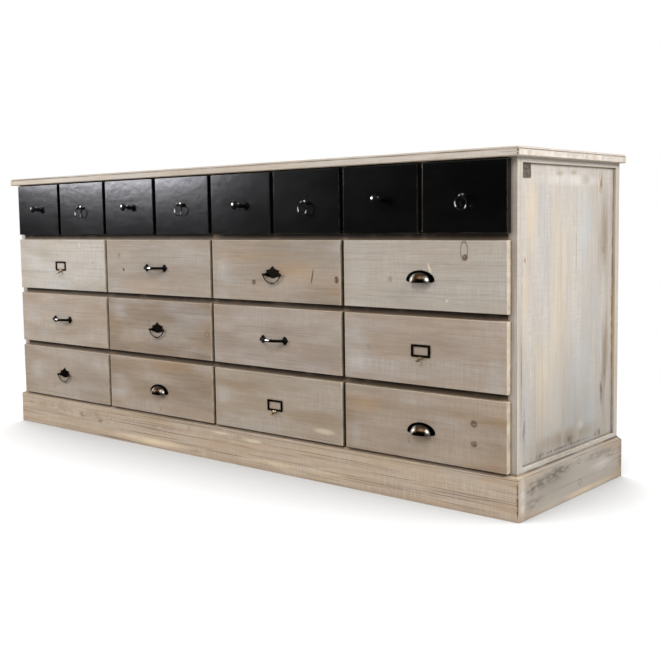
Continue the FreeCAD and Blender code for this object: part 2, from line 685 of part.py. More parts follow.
def make_ring_eye():
    """What carries a ring: a rose, a stem with a cross-drilled ball, its threaded tail and a nut."""
    rose = rod("eye_rose", "eye_rose_radius", "y", "-eye_rose_height", "0")
    stem = rod("eye_stem", "eye_stem_radius", "y", "-eye_reach", "-eye_rose_height / 2")
    tail = rod("eye_tail", "screw_radius", "y", "-eye_rose_height",
               "drawer_inside + nut_height + screw_radius")
    knuckle = ball("eye_ball", "eye_ball_radius", "z", y="-eye_reach")
    hole = rod("eye_hole", "ring_hole", "x", "-eye_ball_radius", "eye_ball_radius", y="-eye_reach",
               z="-eye_drop")
    eye = cut("eye", joined("eye_solid", [rose, stem, tail, knuckle]), [hole])
    nut = doc.addObject("Part::Prism", "nut_blank")
    nut.Placement = Placement(Vector(), AXIS_TURNS["y"])
    bind(nut, Circumradius="nut_radius", Height="nut_height", y="drawer_inside")
    bore = rod("nut_bore", "screw_hole", "y", "drawer_inside", "drawer_inside + nut_height")
    return together("ring_eye_pull", [eye, cut("nut", nut, [bore])])


def make_ring():
    """The ring, hanging in the hole of the ball."""
    return hoop("ring_hoop", "ring_radius", "ring_wire", "y", y="-eye_reach", z="-eye_drop - ring_radius")


def make_cup():
    """A cup pull: half a hollow dome, open below, on a flat flange with rounded ends, and two nails."""
    deep = ("-cup_flange", "0")
    wide = ("-2 * cup_half_width", "2 * cup_half_width")
    upper = common("flange_upper", [
        oval("flange_arch", "cup_half_width", "cup_half_height", "cup_flange", z="cup_oval_rise"),
        board("flange_above", wide, deep, ("cup_oval_rise", "2 * cup_half_height"))])
    lower = common("flange_lower", [
        oval("flange_ends", "cup_half_width", "cup_end_round", "cup_flange", z="cup_oval_rise"),
        board("flange_below", wide, deep, ("-cup_lip", "cup_oval_rise"))])
    outside = flattened_ball("hood_outside", "hood_half_width", "hood_reach", "hood_rise")
    hollow = flattened_ball("hood_hollow", "hood_half_width - cup_wall", "hood_reach - cup_wall",
                            "hood_rise - cup_wall")
    room = board("hood_room", wide, ("-2 * hood_reach", "0"), ("-cup_lip", "2 * hood_rise"))
    hood = common("hood", [outside, room])
    pins = [nail(f"cup_nail_{side}", offset, "cup_pin_rise", "cup_flange")
            for side, offset in (("left", "-cup_pin_offset"), ("right", "cup_pin_offset"))]
    holes = screw_holes("cup_hole", ["-cup_pin_offset", "cup_pin_offset"], "-cup_flange", "0", "pin_radius",
                        "cup_pin_rise")
    shell = cut("cup_shell", joined("cup_solid", [upper, lower, hood]), [hollow] + holes)
    return together("cup_pull", [shell] + pins)


def make_card():
    """A card frame with a curled pull tongue on its lower bar, and two nails."""
    half_width = "(card_width / 2)"
    half_height = "(card_height / 2)"
    right = [(f"{half_width} - card_corner", f"-{half_height}"), (half_width, f"card_corner - {half_height}"),
             (half_width, f"{half_height} - card_corner"), (f"{half_width} - card_corner", half_height)]
    left = [(f"-({across})", up) for across, up in reversed(right)]
    plate = shaped("card_plate", "XZ_Plane", right + left, "-card_thickness", "0")
    window = board("card_window", (f"card_stile - {half_width}", f"{half_width} - card_stile"),
                   ("-card_thickness", "0"), (f"card_bar - {half_height}", f"{half_height} - card_bar"))
    offset = f"({half_width} - card_stile / 2)"
    holes = screw_holes("card_hole", [f"-{offset}", offset], "-card_thickness", "0", "pin_radius")
    root = f"(card_bar - {half_height})"
    centre_y = "-card_thickness - tongue_radius + tongue_thickness / 2"
    outer = rod("tongue_outer", "tongue_radius + tongue_thickness / 2", "x", "-tongue_width / 2",
                "tongue_width / 2", y=centre_y, z=root)
    inner = rod("tongue_inner", "tongue_radius - tongue_thickness / 2", "x", "-tongue_width / 2",
                "tongue_width / 2", y=centre_y, z=root)
    tip = f"{root} - tongue_radius - tongue_thickness / 2"
    outline = [("-tongue_width / 2", root), ("-tongue_tip_width / 2", tip),
               ("tongue_tip_width / 2", tip), ("tongue_width / 2", root)]
    front_view = shaped("tongue_front_view", "XZ_Plane", outline, centre_y,
                        "-card_thickness + tongue_thickness")
    curl = common("tongue_curl", [cut("tongue_sheet", outer, [inner]), front_view])
    bead = rod("tongue_bead", "tongue_bead_radius", "x", "-tongue_tip_width / 2", "tongue_tip_width / 2",
               y=centre_y, z=f"{root} - tongue_radius")
    frame = cut("card_frame", plate, [window] + holes)
    pins = [nail(f"card_nail_{side}", place, "0", "card_thickness")
            for side, place in (("left", f"-{offset}"), ("right", offset))]
    return together("card_pull", [joined("card_and_tongue", [frame, curl, bead])] + pins)


def make_bow():
    """A bow handle: a bent round bar between two pointed feet, and two screws."""
    solids = []
    sockets = []
    screws = []
    for side, sign in (("left", "-"), ("right", "+")):
        middle = f"0 {sign} bow_spacing / 2"
        outline = [(f"{middle} - bow_foot_half_width", "0"),
                   (f"{middle} - bow_foot_flat", "-bow_foot_half_height"),
                   (f"{middle} + bow_foot_flat", "-bow_foot_half_height"),
                   (f"{middle} + bow_foot_half_width", "0"),
                   (f"{middle} + bow_foot_flat", "bow_foot_half_height"),
                   (f"{middle} - bow_foot_flat", "bow_foot_half_height")]
        foot = shaped(f"bow_foot_{side}", "XZ_Plane", outline, "-bow_foot_thickness", "0")
        finish_face(foot, "PartDesign::Chamfer", f"bow_foot_bevel_{side}", Vector(0, -1, 0), "bow_foot_slope")
        solids.append(foot)
        solids.append(taper(f"bow_root_{side}", "bow_neck_radius", "bow_root_radius", "y", "-bow_bar_seat",
                            "-bow_foot_thickness / 2", x=middle))
        solids.append(ball(f"bow_boss_{side}", "bow_boss_radius", "x", x=middle, y="-bow_bar_seat"))
        sockets.append(screw_socket(f"bow_socket_{side}", middle))
        screws.append(machine_screw(f"bow_screw_{side}", middle))
    bar = hoop("bow_bar", "bow_arc", "bow_bar_radius", "z", y="bow_arc - bow_reach")
    bind(bar, Angle3="2 * bow_half_angle")
    bar.setExpression("Placement.Rotation.Angle", formula("-90deg - bow_half_angle"))
    shell = cut("bow_shell", joined("bow_solid", solids + [bar]), sockets)
    return together("bow_pull", [shell] + screws)


def make_bail_plate():
    """A stepped, pointed plate with two drilled posts, and two screws."""
    right = [("0", "-plate_drop"), ("bail_post_spacing / 2 + bail_post_radius", "-bail_post_radius"),
             ("bail_post_spacing / 2 + bail_post_radius", "bail_post_radius"),
             ("plate_waist", "plate_waist_rise"), ("plate_wing", "plate_wing_rise"),
             ("plate_shoulder", "plate_shoulder_rise"), ("0", "plate_rise")]
    left = [(f"-({across})", up) for across, up in reversed(right[1:-1])]
    blank = shaped("bail_plate_blank", "XZ_Plane", right + left, "-plate_thickness", "0")
    finish_face(blank, "PartDesign::Chamfer", "bail_plate_bevel", Vector(0, -1, 0), "plate_bevel")
    solids = [blank]
    cuts = []
    screws = []
    for side, sign in (("left", "-"), ("right", "+")):
        middle = f"0 {sign} bail_post_spacing / 2"
        solids.append(rod(f"bail_post_{side}", "bail_post_radius", "y", "-bail_post_reach", "0", x=middle))
        cuts.append(rod(f"bail_hole_{side}", "bail_hole", "x", f"{middle} - bail_post_radius",
                        f"{middle} + bail_post_radius", y="-bail_axis_reach"))
        cuts.append(rod(f"bail_socket_{side}", "screw_hole", "y", "-bail_axis_reach / 2", "0", x=middle))
        shank = rod(f"bail_screw_shank_{side}", "screw_radius", "y", "screw_clearance - bail_axis_reach / 2",
                    "drawer_inside", x=middle)
        head = rod(f"bail_screw_head_{side}", "screw_head_radius", "y", "drawer_inside",
                   "drawer_inside + screw_head_height", x=middle)
        screws.append(joined(f"bail_screw_{side}", [shank, head]))
    plate = cut("bail_plate_shell", joined("bail_plate_solid", solids), cuts)
    return together("bail_plate_pull", [plate] + screws)


def make_bail():
    """A thin bail: a bow of round rod, thicker in its middle, with pins turned in to the posts."""
    arc = hoop("bail_hoop", "bail_arc", "bail_rod_radius", "y", y="-bail_axis_reach",
               z="bail_arc - bail_drop")
    lower = board("bail_lower", ("-bail_half_width - bail_ball_radius", "bail_half_width + bail_ball_radius"),
                  ("-bail_axis_reach - bail_ball_radius", "-bail_axis_reach + bail_ball_radius"),
                  ("-bail_drop - bail_ball_radius", "0"))
    middle = {"y": "-bail_axis_reach", "z": "-bail_drop"}
    solids = [common("bail_rod", [arc, lower]),
              taper("bail_grip_left", "bail_pin_radius", "bail_grip_radius", "x",
                    "-bail_grip_half_width", "0", **middle),
              taper("bail_grip_right", "bail_grip_radius", "bail_pin_radius", "x",
                    "0", "bail_grip_half_width", **middle)]
    inner_end = "bail_post_spacing / 2 - bail_post_radius"
    for side, low, high, end in (("left", "-bail_half_width", f"-({inner_end})", "-bail_half_width"),
                                 ("right", inner_end, "bail_half_width", "bail_half_width")):
        solids.append(rod(f"bail_pin_{side}", "bail_pin_radius", "x", low, high, y="-bail_axis_reach"))
        solids.append(ball(f"bail_knuckle_{side}", "bail_ball_radius", "z", x=end, y="-bail_axis_reach"))
    return joined("bail_bow", solids)


back_panel = board("back_panel", ("-post_inner - back_rebate", "post_inner + back_rebate"),
                   ("case_back - back_thickness", "case_back"),
                   ("runner_top - back_rebate", "case_height - back_top_rail_height + back_rebate"))
make_top()
make_side_frames()
make_back()
make_plinth()
make_floor()
make_front_frame()
make_partitions()
make_runners()

bow_places = ("-bow_spacing / 2", "bow_spacing / 2")
bail_places = ("-bail_post_spacing / 2", "bail_post_spacing / 2")
cup_places = ("-cup_pin_offset", "cup_pin_offset")
card_places = ("card_stile / 2 - card_width / 2", "card_width / 2 - card_stile / 2")
PULLS = {
    "knob": [("knob", make_knob())],
    "ring": [("ring_eye", make_ring_eye()), ("ring", make_ring())],
    "cup": [("cup_pull", make_cup())],
    "card": [("card_pull", make_card())],
    "bow": [("bow_handle", make_bow())],
    "bail": [("bail_plate", make_bail_plate()), ("bail", make_bail())],
}


def place_drawer(label, pull, rise, x, z):
    """Set a drawer and its pull in their place; the holes in its front follow the pull's height."""
    if pull in ("knob", "ring"):
        made = drawer(label, "small_width", through=("0",), pilot_height=rise)
    elif pull == "bow":
        made = drawer(label, "large_width", through=bow_places, pilot_height=rise)
    elif pull == "bail":
        made = drawer(label, "large_width", through=bail_places, pilot_height=rise)
    elif pull == "cup":
        made = drawer(label, "large_width", pilots=cup_places, pilot_height=f"{rise} + cup_pin_rise")
    else:
        made = drawer(label, "large_width", pilots=card_places, pilot_height=rise)
    placed = node(together(f"drawer_{label}", [made], x=x, z=z))
    for piece, model in PULLS[pull]:
        node(together(f"{piece}_{label}", [model], x=x, y="front_face", z=f"{z} + {rise}"))
    return placed


for number, (pull, rise) in enumerate(SMALL_DRAWERS, 1):
    place_drawer(f"top_{number}", pull, f"rise_{pull}_top_{number}", small_middle(number), row_middle(0))
for row, drawers in enumerate(LARGE_DRAWERS, 1):
    for column, (pull, rise) in enumerate(drawers, 1):
        place_drawer(f"row_{row}_{column}", pull, f"rise_{pull}_row_{row}_{column}",
                     column_middle(column), row_middle(row))

doc.recompute()

# Check everything before any file is written.
for piece in doc.Objects:
    for fault in ("Invalid", "Error"):
        if fault in piece.State:
            raise RuntimeError(f"{piece.Label}: {fault}")
for piece in nodes:
    if piece.Shape.isNull() or not piece.Shape.isValid() or not piece.Shape.Solids:
        raise RuntimeError(f"{piece.Label} is not a valid solid")

os.makedirs("parts", exist_ok=True)
for piece in nodes:
    piece.Shape.exportStep(f"parts/{piece.Label}.step")
print(len(nodes), "nodes,", sum(len(piece.Shape.Solids) for piece in nodes), "solids")
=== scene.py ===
"""The looks of a limed pine chest with twenty drawers and mixed old pulls, in soft studio light."""

import json
import math

import bmesh
import bpy
from mathutils import Matrix, Vector

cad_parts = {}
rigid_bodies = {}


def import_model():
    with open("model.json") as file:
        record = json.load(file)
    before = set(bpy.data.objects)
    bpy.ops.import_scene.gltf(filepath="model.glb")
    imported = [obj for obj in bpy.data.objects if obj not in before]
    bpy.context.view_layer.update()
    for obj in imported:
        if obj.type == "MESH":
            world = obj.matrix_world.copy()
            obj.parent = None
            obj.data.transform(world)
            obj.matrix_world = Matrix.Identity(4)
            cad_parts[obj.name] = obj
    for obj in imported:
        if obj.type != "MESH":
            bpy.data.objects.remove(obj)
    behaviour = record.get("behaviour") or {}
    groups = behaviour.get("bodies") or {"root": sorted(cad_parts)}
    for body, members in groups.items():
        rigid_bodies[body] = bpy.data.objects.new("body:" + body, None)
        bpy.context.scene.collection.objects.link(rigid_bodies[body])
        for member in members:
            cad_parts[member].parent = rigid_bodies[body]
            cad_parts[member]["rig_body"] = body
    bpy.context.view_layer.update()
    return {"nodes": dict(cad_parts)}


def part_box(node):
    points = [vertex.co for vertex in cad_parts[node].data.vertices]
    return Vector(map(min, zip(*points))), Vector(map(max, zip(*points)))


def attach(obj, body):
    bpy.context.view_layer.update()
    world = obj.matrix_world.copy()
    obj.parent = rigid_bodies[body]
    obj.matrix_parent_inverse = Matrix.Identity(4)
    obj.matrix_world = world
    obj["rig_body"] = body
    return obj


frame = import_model()

MM = 0.001

# Where the face and the back of every drawer front lie, front to back, in mm.
FRONT_FACE = -275.8
FRONT_BACK = -258.6


def linear(code):
    """An sRGB hex colour as linear red, green, blue and alpha."""
    shares = [int(code[at:at + 2], 16) / 255 for at in (0, 2, 4)]
    return tuple(((share + 0.055) / 1.055) ** 2.4 if share > 0.04045 else share / 12.92
                 for share in shares) + (1.0,)


def feed(tree, node, inputs):
    """Set a node's inputs; each one is a value or the output that feeds it."""
    for name, value in inputs.items():
        if isinstance(value, bpy.types.NodeSocket):
            tree.links.new(value, node.inputs[name])
        else:
            node.inputs[name].default_value = value


def add(tree, kind, inputs=(), **settings):
    """Add a node with its settings and its inputs."""
    node = tree.nodes.new(kind)
    for name, value in settings.items():
        setattr(node, name, value)
    feed(tree, node, dict(inputs))
    return node


def calc(tree, operation, *parts):
    """One step of arithmetic on outputs or numbers."""
    return add(tree, "ShaderNodeMath", enumerate(parts), operation=operation).outputs[0]


def vector_calc(tree, operation, *parts, **scale):
    """One step of arithmetic on vectors. Its answer is a number for a length or a dot product."""
    node = add(tree, "ShaderNodeVectorMath", {**dict(enumerate(parts)), **scale}, operation=operation)
    return node.outputs["Value" if operation in ("LENGTH", "DOT_PRODUCT") else "Vector"]


def joined(tree, *parts):
    """A vector made of up to three outputs or numbers."""
    return add(tree, "ShaderNodeCombineXYZ", enumerate(parts)).outputs[0]


def parted(tree, vector):
    """The three parts of a vector, by the names of their axes."""
    return add(tree, "ShaderNodeSeparateXYZ", {0: vector}).outputs


def either(tree, choice, usual, other):
    """One of two vectors: the other where the choice is 1."""
    return add(tree, "ShaderNodeMix", {0: choice, 4: usual, 5: other}, data_type="VECTOR").outputs[1]


def ramp(tree, value, start, end, bottom=0.0, top=1.0, kind="SMOOTHSTEP"):
    """From bottom, where a value is at start, to top, where it is at end, and no further."""
    return add(tree, "ShaderNodeMapRange", {"Value": value, "From Min": start, "From Max": end,
                                            "To Min": bottom, "To Max": top},
               interpolation_type=kind).outputs[0]


def between(tree, share, bottom, top):
    """Evenly from bottom to top as a share goes from 0 to 1."""
    return ramp(tree, share, 0.0, 1.0, bottom, top, kind="LINEAR")


def strongest(tree, parts):
    """The largest of several outputs or numbers."""
    total = parts[0]
    for part in parts[1:]:
        total = calc(tree, "MAXIMUM", total, part)
    return total


def times(tree, *parts):
    """The product of several outputs or numbers."""
    total = parts[0]
    for part in parts[1:]:
        total = calc(tree, "MULTIPLY", total, part)
    return total


def glaze(tree, under, over, amount):
    """One colour laid over another by an amount from 0 to 1."""
    over = linear(over) if isinstance(over, str) else over
    under = linear(under) if isinstance(under, str) else under
    return add(tree, "ShaderNodeMix", {0: amount, 6: under, 7: over}, data_type="RGBA").outputs[2]


def coats(tree, under, *layers):
    """Colours laid on in turn; each comes with the outputs or numbers whose product is its amount."""
    for colour, *amounts in layers:
        under = glaze(tree, under, colour, times(tree, *amounts))
    return under


# Patterns. Each one returns an output from 0 to 1.

ROUNDING_STARTS = 0.99
# Where the painted corner shade starts and is full, as values of ambient occlusion.
CORNER_SHADE_STARTS = 0.92
CORNER_SHADE_FULL = 0.30
LOOKS_ALONG = 0.8
LINE_CORE = 0.4


def streaks(tree, place, size, low, high, detail=2.0, warp=0.0):
    """Uneven streaks of a given size in mm along, across and through the board."""
    stretched = vector_calc(tree, "MULTIPLY", place, tuple(1 / length for length in size))
    noise = add(tree, "ShaderNodeTexNoise", {"Vector": stretched, "Scale": 1.0, "Detail": detail,
                                             "Distortion": warp})
    return ramp(tree, noise.outputs[0], low, high)


def spot(tree, flat, along, across, half_length, half_height, turn=0.0, edge=(1.0, 0.6)):
    """An oval spot on a board's face: 0 outside, rising to 1 between two shares of its half size."""
    inside = add(tree, "ShaderNodeMapping", {"Vector": flat, "Location": (along, across, 0),
                                             "Rotation": (0, 0, math.radians(turn)),
                                             "Scale": (half_length, half_height, 1)}, vector_type="TEXTURE")
    return ramp(tree, vector_calc(tree, "LENGTH", inside.outputs[0]), *edge)


def worn_edge(tree, reach, full):
    """The arrises of a piece, where hands and cloths rub the finish off, and how far each one looks up.

    Wear starts as soon as the rounded face turns from the true one, and is full at a given cosine."""
    rounded = add(tree, "ShaderNodeBevel", {"Radius": reach * MM}, samples=4).outputs[0]
    true_face = add(tree, "ShaderNodeNewGeometry").outputs["Normal"]
    match = vector_calc(tree, "DOT_PRODUCT", rounded, true_face)
    return ramp(tree, match, ROUNDING_STARTS, full, kind="LINEAR"), parted(tree, rounded)["Z"]


def corner_shade(tree, reach):
    """Painted shade in corners: the wood turns darker where ambient occlusion finds it hemmed in."""
    room = add(tree, "ShaderNodeAmbientOcclusion", {"Distance": reach * MM}, samples=4).outputs["AO"]
    return ramp(tree, room, CORNER_SHADE_STARTS, CORNER_SHADE_FULL)


def line_at(tree, value, middle, half_width):
    """A thin level line: 1 where a value lies near a middle one, falling to 0 at half its width."""
    off = calc(tree, "ABSOLUTE", calc(tree, "SUBTRACT", value, middle))
    return ramp(tree, off, half_width, half_width * LINE_CORE)


def facing(tree, axis):
    """Where a face looks along an axis, either way."""
    normal = add(tree, "ShaderNodeNewGeometry").outputs["True Normal"]
    return calc(tree, "GREATER_THAN", calc(tree, "ABSOLUTE", parted(tree, normal)[axis]), LOOKS_ALONG)


def relief(tree, height, strength, depth):
    """A fine relief of a given depth in mm."""
    return add(tree, "ShaderNodeBump", {"Height": height, "Strength": strength,
                                        "Distance": depth * MM}).outputs[0]


def place_in_mm(tree):
    """Where a point lies, in mm, and the three parts of that."""
    coordinates = add(tree, "ShaderNodeTexCoord").outputs["Object"]
    place = vector_calc(tree, "SCALE", coordinates, Scale=1 / MM)
    return place, parted(tree, place)


def new_material(name):
    """An empty material: its tree and its shader, joined to the output."""
    material = bpy.data.materials.new(name)
    material.use_nodes = True
    tree = material.node_tree
    tree.nodes.clear()
    shader = add(tree, "ShaderNodeBsdfPrincipled")
    add(tree, "ShaderNodeOutputMaterial", {"Surface": shader.outputs[0]})
    return material, tree, shader


# Wood. A board's place is in mm along its grain, across its face and through its thickness.

WARM_TINT = "a4845f"
PORE_BROWN = "6f5a45"
LIME_PASTE = "d5d1cb"
COLD_PASTE = "b9bec3"
# Brown of the real splits, and of the painted shade lines in quirks and grooves.
CRACK_AND_GROOVE_SHADE_BROWN = "4d3d2e"
RUBBED_CREAM = "e0cba4"
# Cream of the painted highlight on arrises that look up.
ARRIS_HIGHLIGHT_CREAM = "f4ead2"
END_CREAM = "d6ccba"
# The colour of the painted shade in corners.
CORNER_SHADE_COLOUR = "2a2018"
# Painted shade in the gaps, on the ends of fronts and on the rails under them.
GAP_SHADE = "23150a"
RING_BROWN = "4a3a2e"
HALO_BROWN = "876544"
KNOT_BROWN = "402a19"
BARE_PINE = ("cfb083", "b08d61")
PAINT_BLACK = ("030303", "090909")
PAINT_WORN = "8d8578"
PAINT_SHEEN = "efeef8"

# Streaks: size in mm along, across and through the board, where they start and are full, and detail.
WANDER = ((620, 130, 130), 0.20, 0.80, 1.0)
RINGS = ((2400, 8.5, 26), 0.36, 0.62, 2.0)
LATE_WOOD = ((900, 2.6, 14), 0.56, 0.70, 1.0)
FIBRES = ((70, 1.6, 1.6), 0.38, 0.64, 2.0)
BRUSHED = ((190, 7, 7), 0.40, 0.70, 3.0)
SPLITS = ((420, 2.2, 8), 0.64, 0.70, 1.0)
SAW_MARKS = ((3.6, 46, 46), 0.34, 0.62, 1.0)
ROUGH = ((24, 8, 8), 0.30, 0.62, 3.0)
BRUSH = ((150, 24, 24), 0.25, 0.60, 5.0)
KNOTTY = ((5, 3, 3), 0.30, 0.52, 3.0)
PATCHY = ((90, 24, 24), 0.30, 0.60, 3.0)
# Streaks that break up the painted shadow under the fronts.
UNDER_SHADE_BREAKUP = ((70, 200, 200), 0.10, 0.50, 3.0)
PAINT_TONE = ((120, 60, 60), 0.35, 0.65, 2.0)
PAINT_PATCHY = ((60, 16, 16), 0.30, 0.60, 3.0)
PAINT_SMUDGES = ((130, 90, 90), 0.20, 0.80, 1.0)
PAINT_UNEVEN = ((34, 26, 26), 0.20, 0.80, 2.0)

# The paste's clouds, its cold bloom and the warm drift, as shares of the finish's own length and width,
# then where each starts and is full, its detail and its warp.
CLOUDS = ((1.0, 1.0, 0.32, 0.68, 3.0, 0.0), (0.9, 1.4, 0.50, 0.80, 2.0, 0.0),
          (1.6, 2.2, 0.36, 0.66, 2.0, 0.5))

# How far the growth lines wander, how far a knot pushes them in half heights of its own, and how far
# apart the patterns of two stocks lie, in mm.
WANDER_REACH = 46.0
KNOT_PUSH = 1.6
STOCK_STEP = (733.0, 217.0, 91.0)

# The spots round a knot: shares of its half length and half height, and the spot's edge.
KNOT_PULL = (4.5, 3.0, (1.0, 0.0))
KNOT_CORE = (1.0, 1.0, (1.15, 0.7))
KNOT_HALO = (1.7, 1.3, (1.0, 0.2))
# The two edges between which a ring mark is dark.
RING_OUTSIDE = (1.1, 0.9)
RING_HOLLOW = (0.65, 0.85)

# How strong the parts of the look are that every finish shares.
BRUSHED_SHARE = 0.25
PORE_STRENGTH = 0.13
ROUGH_STRENGTH = 0.07
RING_STRENGTH = 0.6
HALO_STRENGTH = 0.55
END_WARMTH = 0.35
ARRIS_HIGHLIGHT_SHARE = 0.85
FACE_STRENGTH = 0.6

# The wear of an arris: its reach in mm, its full cosine, the least share left where it is patchy, and
# between which upward looks it fades in from below, and a painted highlight turns it bright above.
ARRIS = (3.2, 0.70)
PAINT_ARRIS = (2.8, 0.70)
LEAST_WEAR = 0.45
FROM_BELOW = (-0.35, -0.05)
ARRIS_HIGHLIGHT_LOOKS = (0.10, 0.40)

# The shadow under a rail: how far down it starts and is full, how far up it ends, and how dark it is.
UNDER_STARTS = 19.0
UNDER_FULL = 5.7
UNDER_ENDS = 5.0
UNDER_STRENGTH = 0.93

# Along a mitred plinth the side boards' places start this far on, in mm, counted front to back.
SIDE_START = 3100.0

# A mark's colour, where its edge starts and ends as shares of its half size, and what breaks it up.
# The whitish marks near the left ends of the fronts are a painted reflection of the window on cupped boards.
MARKS = {
    "painted_sheen": ("c6c8cb", (1.0, 0.0), "cloud"), "cream": ("e2d3b5", (1.0, 0.3), None),
    "brown": ("8d6a48", (1.0, 0.1), "rough"), "tan": ("a98a66", (1.0, 0.0), None),
    "smudge": ("4a4037", (1.0, 0.1), "rough"), "shade": ("7d7064", (1.0, 0.0), "rough"),
    "crack": ("2e241b", (1.0, 0.6), None), "plug": ("8b8177", (1.0, 0.8), None),
    "peach": ("dcc7a8", (1.0, 0.1), "brush"), "slate": ("a6acb0", (1.0, 0.1), "brush"),
    "sky": ("bcc6cc", (1.0, 0.1), "brush"), "earth": ("8f7f6c", (1.0, 0.1), "brush"),
    "chalk": ("e2dfda", (1.0, 0.1), "brush"), "seam": ("3a2c20", (1.0, 0.4), "rough"),
    "straw": ("d6bc93", (1.0, 0.5), None), "ash": ("aaa49c", (1.0, 0.6), None),
    # The dusk mark is a flat darkening; on the side panel it is painted shade.
    "dusk": ("83796c", (1.0, 0.0), None)}

# The axes along, across and through a board, by the way its grain runs.
GRAIN_AXES = {"lengthways": "XZY", "upright": "ZYX", "front to back": "YZX", "flat": "XYZ",
              "upright face": "ZXY"}


def board_place(tree, grain, mitre=None):
    """Where a point lies on its board. Behind a mitre the boards run front to back, from SIDE_START."""
    _, axes = place_in_mm(tree)
    along, across, through = (axes[axis] for axis in GRAIN_AXES[grain])
    if mitre is not None:
        to_front = calc(tree, "SUBTRACT", axes["Y"], mitre[1])
        from_middle = calc(tree, "ABSOLUTE", axes["X"])
        to_side = calc(tree, "SUBTRACT", mitre[0], from_middle)
        on_side = calc(tree, "LESS_THAN", to_side, to_front)
        lengthways = joined(tree, along, across, through)
        inwards = joined(tree, calc(tree, "ADD", axes["Y"], SIDE_START), across, from_middle)
        parts = parted(tree, either(tree, on_side, lengthways, inwards))
        along, across, through = (parts[axis] for axis in "XYZ")
    return joined(tree, along, across, through), joined(tree, along, across), axes


def pine_figure(tree, place, stock, flat=None, knots=()):
    """Growth lines, late wood, fibres and knots of a pine board; the lines bend round the knots."""
    own = vector_calc(tree, "ADD", place, tuple(stock * step for step in STOCK_STEP))
    bend = times(tree, streaks(tree, own, *WANDER), WANDER_REACH)
    cores, halos = [0.0], [0.0]
    for along, across, half_length, half_height, depth in knots:
        pull, core, halo = (spot(tree, flat, along, across, half_length * longer, half_height * higher,
                                 edge=edge) for longer, higher, edge in (KNOT_PULL, KNOT_CORE, KNOT_HALO))
        bend = calc(tree, "MULTIPLY_ADD", pull, half_height * KNOT_PUSH, bend)
        cores.append(times(tree, core, depth))
        halos.append(times(tree, halo, depth))
    bent = vector_calc(tree, "ADD", own, joined(tree, 0.0, bend))
    return (own, streaks(tree, bent, *RINGS), streaks(tree, bent, *LATE_WOOD), streaks(tree, own, *FIBRES),
            strongest(tree, cores), strongest(tree, halos))


def box_pine(tree, stock):
    """Bare pine of a drawer box. The grain runs front to back in its sides, from side to side elsewhere."""
    lengthways, _, axes = board_place(tree, "lengthways")
    place = either(tree, facing(tree, "X"), lengthways, joined(tree, axes["Y"], axes["Z"], axes["X"]))
    _, rings, late_wood, fibres, _, _ = pine_figure(tree, place, stock)
    light, dark = BARE_PINE
    return coats(tree, light, (dark, rings, 0.55), ("9a754c", late_wood, 0.4), ("8a6a48", fibres, 0.12))


def marked(tree, wood, flat, breaks, marks, rings_round):
    """Wood with its marks laid on in turn, then its ring marks."""
    for kind, along, across, half_length, half_height, strength, *turn in marks:
        colour, edge, broken = MARKS[kind]
        mark = spot(tree, flat, along, across, half_length, half_height, *turn, edge=edge)
        wood = coats(tree, wood, (colour, mark, breaks[broken], strength))
    for ring in rings_round:
        outer, hollow = (spot(tree, flat, *ring, edge=edge) for edge in (RING_OUTSIDE, RING_HOLLOW))
        wood = coats(tree, wood, (RING_BROWN, outer, hollow, RING_STRENGTH))
    return wood


def shaded_in_corners_and_gaps(tree, wood, own, axes, ends, finish, under):
    """Wood with painted shade on the ends that stand in a gap, in its corners, and below the heights in
    under.
    """
    # Painted shade on the ends of the fronts, darker deeper into the gap.
    if "shut" in finish:
        strength, outer, inner = finish["shut"]
        shut = ramp(tree, axes["Y"], FRONT_FACE + outer, FRONT_FACE + inner)
        wood = coats(tree, wood, (GAP_SHADE, ends, shut, strength))
    # Painted shade in the corners, by ambient occlusion.
    reach, strength = finish["corner_shade"]
    wood = coats(tree, wood, (CORNER_SHADE_COLOUR, corner_shade(tree, reach), strength))
    # A painted shadow on the rails under each front, broken up by streaks.
    shade_breakup = streaks(tree, own, *UNDER_SHADE_BREAKUP) if under else 1.0
    for height in under:
        low = ramp(tree, axes["Z"], height - UNDER_STARTS, height - UNDER_FULL)
        there = calc(tree, "LESS_THAN", axes["Z"], height + UNDER_ENDS)
        wood = coats(tree, wood, (GAP_SHADE, low, there, shade_breakup, UNDER_STRENGTH))
    return wood


def rubbed_back_and_highlighted(tree, wood, patches, finish):
    """Wood worn to cream on its arrises, least where they look down, and painted highlight where they look
    up.
    """
    arris, looks_up = worn_edge(tree, *ARRIS)
    kept = ramp(tree, looks_up, *FROM_BELOW, finish["below"], kind="LINEAR")
    # Painted highlight: arrises that look up turn brighter.
    lit_from_above = ramp(tree, looks_up, *ARRIS_HIGHLIGHT_LOOKS, kind="LINEAR")
    return coats(tree, wood, (RUBBED_CREAM, arris, patches, kept, finish["wear"]),
                 (ARRIS_HIGHLIGHT_CREAM, arris, patches, lit_from_above, finish["wear"] * ARRIS_HIGHLIGHT_SHARE))


